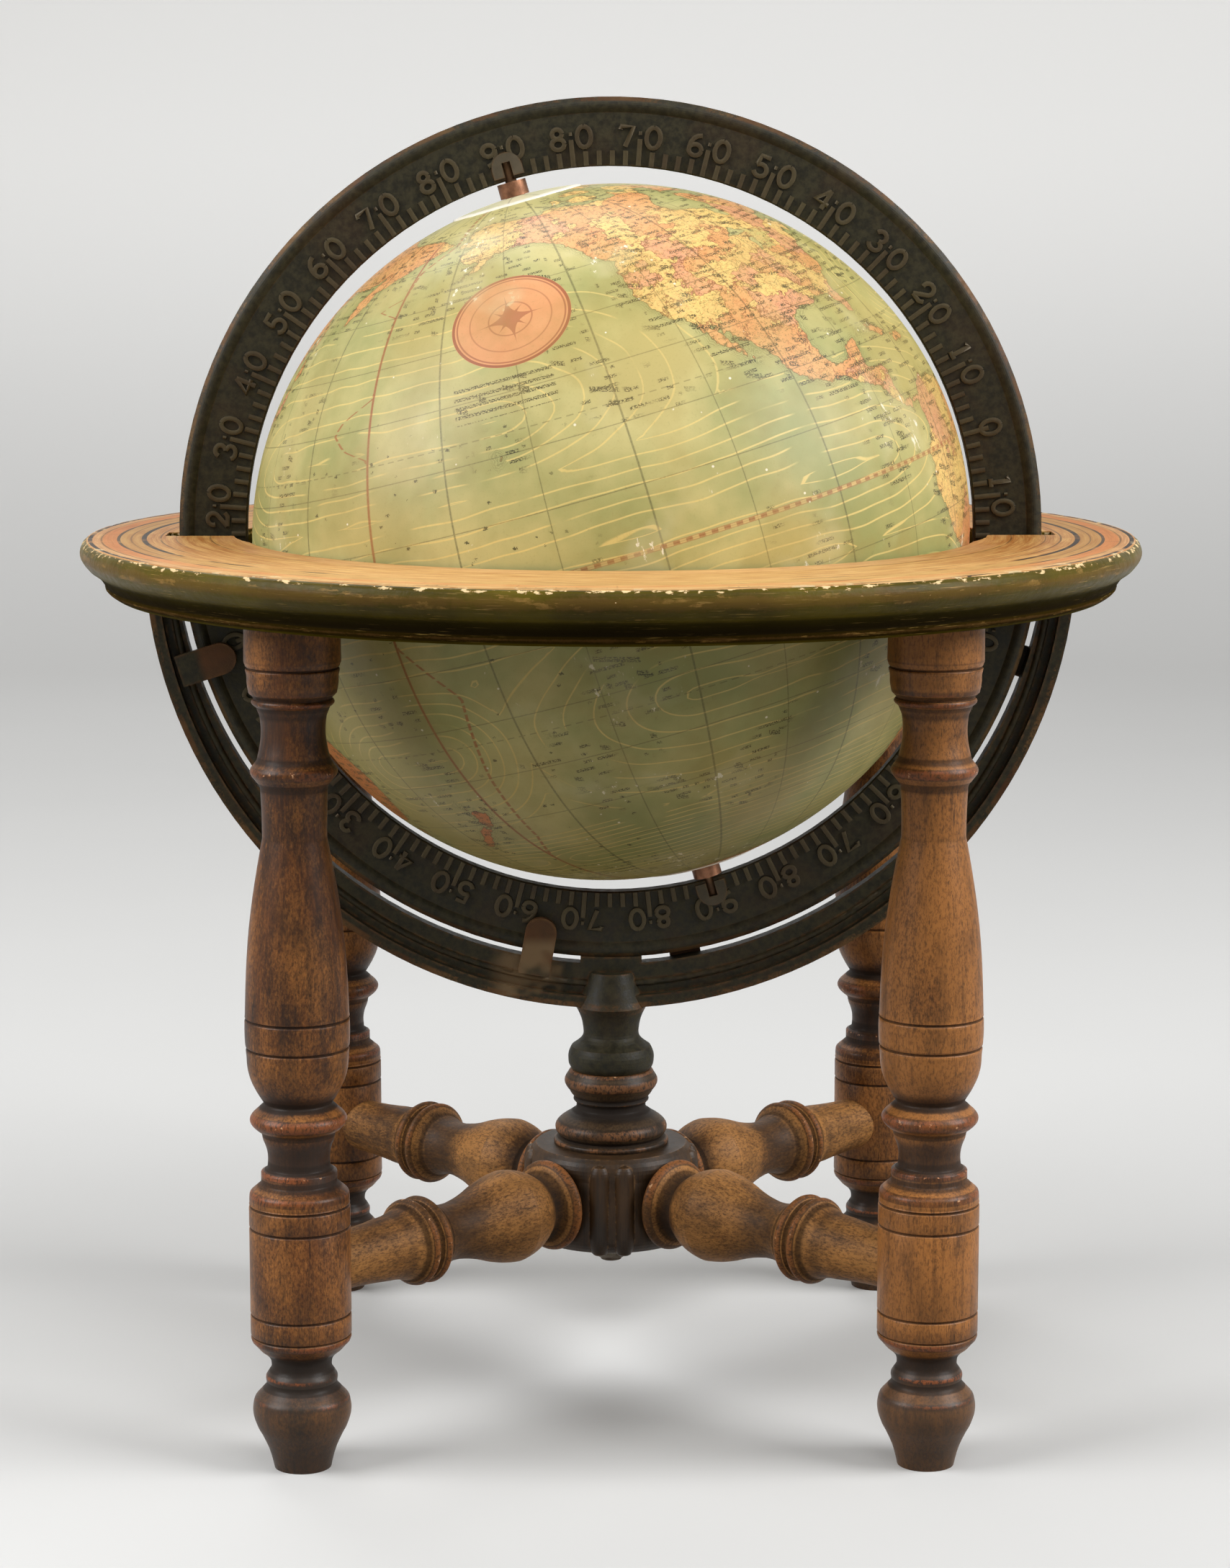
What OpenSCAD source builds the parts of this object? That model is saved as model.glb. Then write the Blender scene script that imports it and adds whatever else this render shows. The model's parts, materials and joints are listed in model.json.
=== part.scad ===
// Library table globe on a turned four-legged stand.
// Millimetres, +Z up. The origin is on the table, straight under the globe.
// The flat meridian ring lies in the XZ plane and the horizon ring in the XY plane.

/* [Globe] */
// Diameter of the globe across its equator
globe_d = 203.2; // [180:0.2:230]
// Pole-to-pole height as a share of the equatorial diameter
pole_squash = 0.963; // [0.945:0.001:0.985]
// Thickness of the pressed paper and plaster shells
shell_t = 3.4; // [2:0.1:6]
// Thickness of the printed paper, the gores and the pole discs alike
print_t = 0.4; // [0.3:0.05:0.8]
// Number of printed gores
gore_count = 12; // [8:1:16]
// Angle from the pole to the rim of each round pole disc
pole_disc_deg = 10.7; // [8:0.1:14]
// Lean of the polar axis from upright, towards -X
axis_tilt = 15.8; // [0:0.1:40]
// Diameter of the wooden rod inside the globe
rod_d = 12; // [9:0.5:20]
// Width of the strip that joins the two shells inside
strip_w = 16; // [10:1:30]
// Thickness of that strip
strip_t = 1.2; // [0.8:0.1:2]

/* [Pole fittings] */
// Diameter of the pole pins
pin_d = 3.2; // [2.4:0.1:4]
// Length of each pin inside the rod
pin_root = 22; // [12:1:30]
// Length of each pin inside the meridian ring
pin_tip = 5.6; // [4:0.1:7]
// Diameter of the copper collar on each pin
collar_d = 8.2; // [6.8:0.1:10]
// Diameter of the collar's spigot in the shell
spigot_d = 5.4; // [5:0.1:6.4]
// Height by which the cast horseshoe round each pin stands off the ring
horseshoe_h = 1.2; // [0.6:0.1:1.4]
// Wall of the horseshoe
horseshoe_w = 3.1; // [2:0.1:3.4]
// Thickness of the keeper plates behind the pins
keeper_t = 1.2; // [0.8:0.1:1.4]
// Length of a keeper plate across its pin
keeper_l = 17; // [15:0.5:20]
// Thread diameter of the keeper screws
keeper_screw_d = 2; // [1.6:0.1:2.4]

/* [Meridian ring] */
// Gap from the globe's equator to the meridian ring
ring_gap = 1.3; // [0.8:0.1:4]
// Width of the ring, from its inner to its outer edge
ring_w = 19.1; // [17:0.1:24]
// Thickness of the ring's flat web
ring_t = 5; // [4.4:0.1:6]
// Width of the rounded bead along the outer edge
bead_w = 4.3; // [3:0.1:6]
// Height of the bead above each face
bead_h = 0.9; // [0.4:0.1:1.2]
// Chamfer of the ring's inner edges
ring_chamfer = 0.4; // [0.2:0.1:1]

/* [Horizon ring] */
// Height of the paper on top of the horizon ring above the table
horizon_z = 245.5; // [235:0.5:270]
// Gap from the globe to the horizon ring's inner edge
horizon_gap = 1.7; // [1:0.1:5]
// Width of the horizon ring at its widest
horizon_w = 46; // [42:0.1:56]
// Thickness of the wooden horizon ring
horizon_t = 14.8; // [13:0.1:20]
// Thickness of the printed paper on it
paper_t = 0.3; // [0.2:0.1:0.6]
// Width of the painted border outside the paper
border_w = 1.7; // [1:0.1:5]
// Gap between the meridian ring's fittings and each side of its notches
notch_side_gap = 0.9; // [0.6:0.1:2]
// Gap between the meridian ring's outer edge and the end of each notch
notch_end_gap = 3.6; // [1.5:0.1:6]
// Depth by which the mouth of each notch is scooped out of the inner edge
scoop_depth = 3.2; // [1.5:0.1:5]
// Reach of that scoop to either side of the notch
scoop_reach = 25; // [15:1:35]

/* [Cradle] */
// Gap from the meridian ring to the cradle's web
cradle_gap = 2; // [1.2:0.1:4]
// Radial width of the cradle level with its centre
cradle_w = 7.8; // [7:0.1:12]
// Extra width at the bottom of the cradle
cradle_sag = 4.6; // [2:0.1:7]
// Thickness of the cradle's web
web_t = 5; // [4:0.1:6]
// Width of the thick rim along the outer edge
rim_w = 3.4; // [2.5:0.1:5]
// Thickness of that rim, front to back
rim_t = 11; // [9:0.1:14]
// Radius of the round moulding on the web
web_bead_r = 1; // [0.6:0.1:1.4]
// Width of the guide fingers
finger_w = 9; // [6:0.1:12]
// Thickness of the guide fingers
finger_t = 2.4; // [1.8:0.1:3.5]
// Reach of the fingers over the face of the meridian ring
finger_reach = 10.4; // [7:0.1:12]
// Gap between a finger and the bead of the meridian ring
finger_gap = 0.5; // [0.3:0.1:1]
// Places of the two front fingers round the ring, from +X
front_fingers = [197.5, 260];
// Places of the two rear fingers
rear_fingers = [342.5, 280];
// Width of the pad that the meridian ring runs on
pad_w = 17.6; // [12:0.1:26]
// Radial running clearance of the ring on its pad
pad_clearance = 0.05; // [0.02:0.01:0.1]
// Radius of the waist of the cradle's neck
neck_r = 8; // [6:0.1:9.5]
// Radius of the iron socket on top of the column
socket_r = 12.5; // [11:0.1:15]
// Height of that socket
socket_h = 6.8; // [6:0.1:11]
// Height of the neck between the socket and the rim
neck_h = 12; // [10:0.1:20]
// Reach of the lugs under the horizon ring, past the rim
lug_l = 3; // [2:0.5:8]
// Width of the lugs
lug_w = 26; // [25:0.5:34]
// Thickness of the lugs
lug_t = 4; // [3:0.1:5]
// Diameter of the lug screws
screw_d = 3; // [2.4:0.1:3.6]
// Length of the lug screws
screw_l = 13; // [10:0.5:15]

/* [Column and hub] */
// Height of the hub's underside above the table
hub_z = 41; // [36:0.1:46]
// Height of the hub
hub_h = 27.4; // [24:0.1:32]
// Largest radius of the turned hub
hub_r = 24.6; // [22:0.1:27]
// Distance from the axis to the four flats that the stretchers are seated on
hub_flat = 23.6; // [20:0.1:24]
// Radius of the upright reeds, carved in pairs between the flats
reed_r = 3.3; // [2.4:0.1:3.6]
// Radius of the disc at the foot of the column
column_foot_r = 16.7; // [14:0.1:17]
// Radius of the bulb above it
bulb_r = 15.9; // [13:0.1:18]
// Radius of the column's neck
column_neck_r = 10.1; // [8:0.1:11.5]
// Radius of the bead under the iron socket
column_bead_r = 13.5; // [12:0.1:15]
// Diameter of the iron rod that ties cradle, column and hub together
tie_d = 6; // [5:0.1:8]
// Width across the flats of its nut
nut_w = 10; // [9:0.5:13]
// Height of the nut
nut_h = 5; // [4:0.5:8]
// Radius of the washer
washer_r = 8; // [7.5:0.5:11]
// Thickness of the washer
washer_t = 1.2; // [0.8:0.1:2]

/* [Legs and stretchers] */
// Distance of the leg centres from the inner edge of the horizon ring
leg_inset = 16.3; // [15:0.1:24]
// Radius of the leg's cylindrical block, where the stretcher enters
block_r = 13.6; // [12.5:0.1:15]
// Height of the middle of that block
block_z = 55.2; // [52:0.1:58]
// Height of the stretchers' axes
stretcher_z = 54.3; // [52:0.1:58]
// Height of the block
block_h = 37.2; // [34:0.1:40]
// Radius of the leg where it meets the table
toe_r = 7.7; // [6:0.1:9]
// Radius of the ball of the foot
foot_r = 13.3; // [12:0.1:15]
// Radius of the ankle above the foot
ankle_r = 8.2; // [7:0.1:9.5]
// Largest radius of the leg's vase
vase_r = 14; // [12:0.1:16]
// Radius of the leg's two slender necks
leg_neck_r = 8.6; // [7:0.1:10]
// Radius of the leg's top block
top_block_r = 12.7; // [11:0.1:14]
// Radius of the tenon into the horizon ring
leg_tenon_r = 7; // [5:0.1:8]
// Length of that tenon
leg_tenon_l = 8; // [5:0.1:10]
// Radius of the bulge of a stretcher
bulge_r = 13.2; // [10:0.1:14]
// Radius of the waist of a stretcher
waist_r = 8.1; // [6:0.1:9]
// Radius of the twin beads of a stretcher
twin_r = 12.2; // [10:0.1:14]
// Radius of the collar of a stretcher against the hub
stretcher_collar_r = 13; // [11:0.1:13.4]
// Radius of the stretcher where it enters the leg
stretcher_end_r = 7.8; // [6:0.1:8.5]
// Radius of the tenon into the hub
hub_tenon_r = 5; // [4:0.1:6]
// Length of the tenon into the hub
hub_tenon_l = 8.4; // [6:0.1:9]
// Depth of the stretcher's end in the leg
leg_mortise = 6; // [4:0.1:8]

/* [Fits] */
// Radial clearance of the pole pins in the meridian ring
pin_clearance = 0.05; // [0.02:0.01:0.1]
// Radial clearance of glued and driven joints
glue_gap = 0.05; // [0.02:0.01:0.1]
// Gap between a part that turns and one that doesn't
turning_gap = 0.5; // [0.3:0.1:1]

/* [Hidden] */
$fn = 96;

walnut = "#5b3a26";
oak = "#7a4e2c";
iron = "#3d3c33";
copper = "#a8643a";
print_paper = "#b9b06a";
cream = "#d9bd83";
olive = "#6b6434";
plaster = "#d8d0bd";

over = 0.01;                       // extra depth of a cut past the face it opens
globe_step = 5;                    // polar angle between the corners of the globe's outline
leg_turns = [225, 315, 135, 45];   // front left, front right, rear left, rear right

globe_r = globe_d / 2;
pole_r = globe_r * pole_squash;
disc_top_r = pole_r + print_t;     // the pole, on top of its paper disc
ring_in_r = globe_r + ring_gap;
ring_out_r = ring_in_r + ring_w;
ring_face = ring_t / 2;
bead_top = ring_face + bead_h;

horizon_in_r = globe_r + horizon_gap;
horizon_out_r = horizon_in_r + horizon_w;
wood_top = horizon_z - paper_t;
wood_bottom = wood_top - horizon_t;
paper_r = horizon_out_r - border_w;
notch_half = ring_face + max(horseshoe_h, keeper_t + keeper_screw_d * 0.4, bead_h) + notch_side_gap;
notch_end_r = ring_out_r + notch_end_gap;
scoop_x = horizon_in_r + scoop_depth;
// Circle through the scoop's deepest point and the inner edge at its reach
scoop_edge_x = sqrt(pow(horizon_in_r, 2) - pow(scoop_reach, 2));
scoop_r = (pow(scoop_x - scoop_edge_x, 2) + pow(scoop_reach, 2)) / (2 * (scoop_x - scoop_edge_x));

web_in_r = ring_out_r + cradle_gap;
rim_out_r = web_in_r + cradle_w;
rim_drop = cradle_sag;             // the rim's circle sits this far below the ring's centre
finger_face = bead_top + finger_gap;
finger_in_r = ring_out_r - finger_reach;
cradle_low_z = horizon_z - rim_drop - rim_out_r;
socket_top = cradle_low_z - neck_h;
column_top = socket_top - socket_h;
hub_top = hub_z + hub_h;
column_h = column_top - hub_top;
column_tenon_r = 8;
column_tenon_l = socket_h * 0.65;
tie_top = socket_top + neck_h * 0.6;
tie_bottom = hub_z - washer_t - nut_h - 1.5;

leg_circle_r = horizon_in_r + leg_inset;
leg_h = wood_bottom;
block_top = block_z + block_h / 2;
block_bottom = block_z - block_h / 2;
stretcher_end = leg_circle_r - block_r + leg_mortise;

pole_bore_r = pin_d / 2 + pin_clearance;
window_half = pin_d / 2 - 0.4;     // front window over the pin, narrower than the pin
window_top = ring_in_r + pin_tip + turning_gap;
horseshoe_r = window_half + horseshoe_w;
keeper_r0 = ring_in_r + ring_chamfer;
keeper_r1 = window_top + 1;

// A turned stretch from [z0, r0] towards [z1, r1], bowed out by bow at its middle (in, if negative).
// It leaves out its last point, which is the first of the next stretch.
function turn(z0, r0, z1, r1, bow = 0, steps = 6) =
    [for (i = [0:steps - 1]) let (t = i / steps) [r0 + (r1 - r0) * t + bow * sin(180 * t), z0 + (z1 - z0) * t]];

// A cut groove of width w and depth d at height z on a stretch of radius r
function groove(z, r, w = 0.9, d = 0.7) = [[r, z - w / 2], [r - d, z], [r, z + w / 2]];

// A half-round bead between z0 and z1, standing on radius r0 and reaching radius r1
function bead(z0, z1, r0, r1) = turn(z0, r0, z1, r0, r1 - r0, 8);

module at_globe() {
    translate([0, 0, horizon_z]) rotate([0, -axis_tilt, 0]) children();
}

module at_pole(south) {
    at_globe() rotate([0, south ? 180 : 0, 0]) children();
}

module along_y(h, r) {
    rotate([90, 0, 0]) cylinder(h = h, r = r, center = true);
}

// Turning profile of a leg: the foot and stretcher block keep their height above the table,
// and the collars and the top block keep theirs below the horizon ring
function leg_profile() =
    let (ball_z = block_bottom - 20.2, ankle_z = block_bottom - 8.6,
         cup_z = block_top + 23, vase_z = block_top + 46, top = leg_h)
    concat(
        [[0, 0]],
        turn(0, toe_r, ball_z - 5, foot_r - 1.3, -0.6),
        turn(ball_z - 5, foot_r - 1.3, ball_z + 5, foot_r - 1.3, 1.3),
        [[ankle_r + 1.4, ball_z + 6.8]],
        turn(ankle_z - 3.6, ankle_r + 1.4, ankle_z - 1.6, ankle_r + 1.2, 0.2, 3),
        turn(ankle_z, ankle_r, ankle_z + 6.2, block_r - 1, -1.6),
        turn(block_bottom - 1.6, block_r - 0.9, block_bottom, block_r - 0.2, 0.3, 3),
        groove(block_bottom + 0.6, block_r),
        groove(block_z - 12, block_r),
        groove(block_z + 12, block_r),
        groove(block_top - 0.6, block_r),
        turn(block_top, block_r - 0.2, block_top + 4, block_r - 0.8, 0.3, 4),
        [[ankle_r + 2, block_top + 5.6], [ankle_r + 2, block_top + 8.6]],
        turn(block_top + 9.6, leg_neck_r - 0.1, cup_z - 4.2, leg_neck_r + 1.6, -0.9),
        bead(cup_z - 3.6, cup_z + 3.4, leg_neck_r + 1.4, vase_r - 1),
        turn(cup_z + 4.4, leg_neck_r + 0.5, vase_z - 4, vase_r - 0.4, 1.5, 8),
        groove(vase_z - 3.4, vase_r - 0.2),
        turn(vase_z - 2.6, vase_r - 0.1, vase_z + 4, vase_r, 0.1, 3),
        groove(vase_z + 4.6, vase_r),
        turn(vase_z + 5.4, vase_r - 0.1, top - 57.4, leg_neck_r, 1.2, 12),
        turn(top - 57.4, leg_neck_r, top - 44.8, leg_neck_r + 0.3, -0.1, 4),
        turn(top - 44.8, leg_neck_r + 0.3, top - 41.6, leg_neck_r + 2.2, -0.6, 4),
        bead(top - 41.6, top - 37.6, leg_neck_r + 1.9, leg_neck_r + 3),
        turn(top - 36.6, leg_neck_r + 1.2, top - 23.2, leg_neck_r + 0.5, -0.9, 8),
        bead(top - 22.4, top - 19.8, leg_neck_r + 1.2, leg_neck_r + 2.4),
        [[top_block_r - 1.2, top - 18.8]],
        turn(top - 18.8, top_block_r - 1.1, top - 12.6, top_block_r - 0.7, 0.3, 4),
        groove(top - 12, top_block_r - 0.2),
        turn(top - 11.2, top_block_r - 0.2, top - 9.8, top_block_r, 0.2, 3),
        [[top_block_r, top], [leg_tenon_r, top], [leg_tenon_r, top + leg_tenon_l], [0, top + leg_tenon_l]]
    );

// Legs stand in a ring, their mortises facing the hub
module leg(index) {
    color(walnut)
    rotate([0, 0, leg_turns[index]]) translate([leg_circle_r, 0, 0]) difference() {
        rotate_extrude() polygon(leg_profile());
        translate([-block_r - 1, 0, stretcher_z]) rotate([0, 90, 0])
            cylinder(h = leg_mortise + 1 + glue_gap, r = stretcher_end_r + glue_gap);
    }
}

// Turning profile of a stretcher, as [radius, distance from the hub's axis]
function stretcher_profile() =
    let (face = hub_flat, run = stretcher_end, span = run - face, bulge = face + span * 0.208,
         waist = face + span * 0.446, twin = face + span * 0.562)
    concat(
        [[0, face - hub_tenon_l], [hub_tenon_r, face - hub_tenon_l], [hub_tenon_r, face]],
        bead(face, face + 4, stretcher_collar_r - 1.5, stretcher_collar_r),
        turn(face + 4, stretcher_collar_r - 1.8, face + 6, bulge_r - 4.3, -0.4, 4),
        [[bulge_r - 4.6, face + 7]],
        turn(face + 7.6, bulge_r - 4.4, bulge, bulge_r, 0.9, 8),
        turn(bulge, bulge_r, bulge + 9, bulge_r - 1.9, 0.3, 4),
        turn(bulge + 9, bulge_r - 1.9, waist, waist_r, -0.4),
        turn(waist, waist_r, twin, twin_r - 2.2, -0.8),
        bead(twin, twin + 3.7, twin_r - 1.6, twin_r),
        [[twin_r - 1.9, twin + 3.9]],
        bead(twin + 4.4, twin + 8.2, twin_r - 1.7, twin_r - 0.1),
        turn(twin + 8.4, twin_r - 1.8, twin + 16.5, stretcher_end_r + 1, -0.4),
        turn(twin + 16.5, stretcher_end_r + 1, run - 6, stretcher_end_r, -0.2, 4),
        [[stretcher_end_r, run], [0, run]]
    );

module stretcher(index) {
    color(oak)
    rotate([0, 0, leg_turns[index]]) translate([0, 0, stretcher_z]) rotate([0, 90, 0])
        rotate_extrude() polygon(stretcher_profile());
}

// Turned hub, rounded at top and bottom
function hub_profile() =
    let (r = hub_r, top = hub_z + hub_h)
    concat(
        [[0, hub_z], [r - 2.6, hub_z]],
        turn(hub_z + 0.2, r - 2.2, hub_z + 4.5, r - 0.1, 0.6, 4),
        turn(hub_z + 4.5, r - 0.1, top - 6.5, r - 0.9, 0.3),
        turn(top - 6.5, r - 0.9, top, r - 2.4, 0.8),
        [[r - 2.8, top], [0, top]]
    );

// An upright reed, fuller low down and rounded off at both ends
function reed_profile() =
    let (low = hub_z - 0.4, high = hub_z + hub_h - 1.2)
    concat(
        [[0, low], [reed_r * 0.45, low]],
        turn(low + 0.3, reed_r * 0.6, low + 5, reed_r, 0.25, 5),
        turn(low + 5, reed_r, high - 4, reed_r * 0.92, 0.05, 4),
        turn(high - 4, reed_r * 0.92, high, reed_r * 0.45, 0.4, 5),
        [[0, high]]
    );

// Hub with a flat for each stretcher and a pair of upright reeds between the flats
module hub() {
    color(walnut)
    difference() {
        union() {
            intersection() {
                rotate_extrude() polygon(hub_profile());
                translate([0, 0, hub_z + hub_h / 2]) rotate([0, 0, 45])
                    cube([2 * hub_flat, 2 * hub_flat, 2 * hub_h], center = true);
            }
            for (turn = [0:90:270], side = [-1, 1])
                rotate([0, 0, turn]) translate([hub_r + 0.9 - reed_r, side * (reed_r + 0.15), 0])
                    rotate_extrude($fn = 48) polygon(reed_profile());
        }
        for (turn = leg_turns)
            rotate([0, 0, turn]) translate([hub_flat + 1, 0, stretcher_z]) rotate([0, -90, 0])
                cylinder(h = hub_tenon_l + 1 + glue_gap, r = hub_tenon_r + glue_gap);
        translate([0, 0, hub_z - 1]) cylinder(h = hub_h + 2, r = tie_d / 2 + glue_gap);
    }
}

function column_profile() =
    let (base = hub_top, top = column_top, h = column_h, neck_z = base + h * 0.47)
    concat(
        [[0, base]],
        turn(base, column_foot_r - 0.3, base + h * 0.085, column_foot_r - 0.6, 0.4, 4),
        [[bulb_r - 1.1, base + h * 0.1]],
        turn(base + h * 0.1, bulb_r - 0.9, neck_z - h * 0.04, column_neck_r + 1, bulb_r - column_neck_r - 2.9, 10),
        turn(neck_z, column_neck_r, neck_z + h * 0.11, column_neck_r, -0.1, 3),
        [[column_neck_r + 0.9, neck_z + h * 0.12], [column_neck_r + 0.5, neck_z + h * 0.16]],
        turn(neck_z + h * 0.18, column_neck_r + 1, neck_z + h * 0.25, column_bead_r - 1.4, 0.1, 3),
        bead(neck_z + h * 0.25, top - 0.8, column_bead_r - 1.4, column_bead_r),
        [[column_bead_r - 1.7, top], [column_tenon_r, top], [column_tenon_r, top + column_tenon_l],
         [0, top + column_tenon_l]]
    );

module column() {
    color(walnut)
    difference() {
        rotate_extrude() polygon(column_profile());
        translate([0, 0, hub_top - 1]) cylinder(h = column_h + socket_h, r = tie_d / 2 + glue_gap);
    }
}

// The rod screws into the cradle's neck and pulls column and hub together
module tie_rod() {
    color(iron) translate([0, 0, tie_bottom]) cylinder(h = tie_top - tie_bottom, r = tie_d / 2);
}

module tie_washer() {
    color(iron) translate([0, 0, hub_z - washer_t]) difference() {
        cylinder(h = washer_t, r = washer_r);
        translate([0, 0, -1]) cylinder(h = washer_t + 2, r = tie_d / 2 + glue_gap);
    }
}

module tie_nut() {
    color(iron) translate([0, 0, hub_z - washer_t - nut_h]) difference() {
        cylinder(h = nut_h, r = nut_w / sqrt(3), $fn = 6);
        translate([0, 0, -1]) cylinder(h = nut_h + 2, r = tie_d / 2 + glue_gap);
    }
}

// A guide finger, drawn at +X of the ring's centre; side is -1 in front and +1 behind
module finger(side) {
    tip_x = finger_in_r + finger_w / 2;
    root_x = rim_out_r - rim_w;
    translate([0, side * (finger_face + finger_t / 2), 0]) {
        translate([(tip_x + root_x) / 2, 0, 0]) cube([root_x - tip_x, finger_t, finger_w], center = true);
        translate([tip_x, 0, 0]) along_y(finger_t, finger_w / 2);
    }
    translate([(web_in_r + root_x) / 2, side * (finger_face + finger_t) / 2, 0])
        cube([root_x - web_in_r, finger_face + finger_t, finger_w], center = true);
}

// Half ring below the horizon: a web, a thick rim and a round moulding between them
module cradle_arc() {
    reach = rim_out_r + rim_drop + 5;
    intersection() {
        union() {
            difference() {
                translate([0, 0, -rim_drop]) along_y(web_t, rim_out_r - rim_w / 2);
                along_y(web_t + 2, web_in_r);
            }
            translate([0, 0, -rim_drop]) difference() {
                along_y(rim_t, rim_out_r);
                along_y(rim_t + 2, rim_out_r - rim_w);
            }
            for (side = [-1, 1])
                translate([0, side * web_t / 2, -rim_drop]) rotate([90, 0, 0]) rotate_extrude()
                    translate([rim_out_r - rim_w - 3.3, 0]) circle(r = web_bead_r, $fn = 24);
        }
        translate([0, 0, wood_bottom - horizon_z - reach / 2]) cube([2 * reach, rim_t + 10, reach], center = true);
    }
}

// Neck and socket, turned about Z below the arc
function neck_profile() =
    let (low = socket_top - socket_h)
    concat(
        [[0, low]],
        turn(low, socket_r - 1.2, low + socket_h * 0.4, socket_r - 0.1, 0.3, 4),
        turn(low + socket_h * 0.4, socket_r - 0.1, socket_top, socket_r - 1.1, 0.4, 4),
        turn(socket_top, socket_r - 1.1, socket_top + neck_h * 0.4, neck_r, -1.2, 6),
        turn(socket_top + neck_h * 0.4, neck_r, socket_top + neck_h, neck_r + 2.4, -0.5, 6),
        turn(socket_top + neck_h, neck_r + 2.4, socket_top + neck_h + rim_w, neck_r + 1, -0.2, 3),
        [[neck_r - 1.4, socket_top + neck_h + rim_w + 6.5], [0, socket_top + neck_h + rim_w + 6.5]]
    );

module lug(side) {
    outer = rim_out_r + lug_l;
    translate([side > 0 ? web_in_r + 1.5 : -outer, -lug_w / 2, wood_bottom - lug_t])
        cube([outer - web_in_r - 1.5, lug_w, lug_t]);
}

function screw_x() = (web_in_r + 1.5 + rim_out_r + lug_l) / 2;
function screw_y() = (rim_t / 2 + lug_w / 2) / 2 + 0.1;

module cradle() {
    color(iron)
    difference() {
        union() {
            translate([0, 0, horizon_z]) {
                cradle_arc();
                for (a = front_fingers) rotate([0, -a, 0]) finger(-1);
                for (a = rear_fingers) rotate([0, -a, 0]) finger(1);
            }
            translate([-pad_w / 2, -web_t / 2, horizon_z - web_in_r - 2])
                cube([pad_w, web_t, cradle_gap + 2 + 0.6]);
            rotate_extrude() polygon(neck_profile());
            for (side = [-1, 1]) lug(side);
        }
        translate([0, 0, horizon_z]) along_y(web_t + 1, ring_out_r + pad_clearance);
        translate([0, 0, column_top - 1]) cylinder(h = column_tenon_l + 1 + glue_gap, r = column_tenon_r + glue_gap);
        cylinder(h = tie_top + glue_gap, r = tie_d / 2 + glue_gap);
        for (x = [-screw_x(), screw_x()], y = [-screw_y(), screw_y()])
            translate([x, y, wood_bottom - lug_t]) {
                translate([0, 0, -1]) cylinder(h = lug_t + 2, r = screw_d / 2 + glue_gap);
                countersink(glue_gap);
            }
    }
}

// The cone that a countersunk head fills, at the underside of a lug
module countersink(gap = 0) {
    translate([0, 0, -over]) cylinder(h = screw_d * 0.6, r1 = screw_d + gap, r2 = screw_d / 2 + gap);
}

module cradle_screws() {
    color(iron)
    for (x = [-screw_x(), screw_x()], y = [-screw_y(), screw_y()])
        translate([x, y, wood_bottom - lug_t]) difference() {
            union() {
                cylinder(h = screw_l, r = screw_d / 2);
                translate([0, 0, over]) countersink();
            }
            translate([0, 0, 0]) cube([3 * screw_d, 0.7, 1.2], center = true);
        }
}

// What both horizon layers leave open: the two notches and their scooped mouths
module notches() {
    for (side = [0, 180]) rotate([0, 0, side]) {
        translate([globe_r * 0.8, -notch_half, wood_bottom - 1])
            cube([notch_end_r - globe_r * 0.8, 2 * notch_half, horizon_t + paper_t + 2]);
        translate([scoop_x - scoop_r, 0, wood_bottom - 1]) cylinder(h = horizon_t + paper_t + 2, r = scoop_r);
    }
}

// Moulded edge, from the top down: a half-round, a slope and a small bead
function horizon_profile() =
    let (r = horizon_out_r, top = wood_top, h = horizon_t)
    concat(
        [[horizon_in_r, wood_bottom], [r - 9.5, wood_bottom]],
        turn(wood_bottom, r - 9.2, wood_bottom + h * 0.24, r - 7.2, 1.3, 6),
        turn(wood_bottom + h * 0.26, r - 6.2, wood_bottom + h * 0.5, r - 2.4, -0.5, 4),
        turn(wood_bottom + h * 0.5, r - 2.4, top, r - 1.2, 1.8, 10),
        [[r - 1.6, top], [horizon_in_r, top]]
    );

module horizon_ring() {
    color(olive)
    difference() {
        rotate_extrude() polygon(horizon_profile());
        notches();
        for (turn = leg_turns)
            rotate([0, 0, turn]) translate([leg_circle_r, 0, wood_bottom - 1])
                cylinder(h = leg_tenon_l + 1 + glue_gap, r = leg_tenon_r + glue_gap);
        for (x = [-screw_x(), screw_x()], y = [-screw_y(), screw_y()])
            translate([x, y, wood_bottom - 1]) cylinder(h = screw_l - lug_t + 1.3, r = screw_d / 2 + glue_gap);
    }
}

module horizon_paper() {
    color(cream)
    difference() {
        translate([0, 0, wood_top]) cylinder(h = paper_t, r = paper_r);
        translate([0, 0, wood_top - 1]) cylinder(h = paper_t + 2, r = horizon_in_r);
        notches();
    }
}

// Section of the meridian ring as [radius, distance from its mid-plane]
function ring_section() =
    let (near_bead = ring_out_r - bead_w, flat = ring_face - ring_chamfer,
         face = concat([[ring_in_r, flat], [ring_in_r + ring_chamfer, ring_face]],
                       [for (i = [0:8]) let (t = i / 8)
                        [near_bead + bead_w * t, ring_face - 0.3 * t + (bead_h + 0.15) * sin(180 * t)]]))
    concat(face, [for (i = [len(face) - 1:-1:0]) [face[i][0], -face[i][1]]]);

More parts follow.
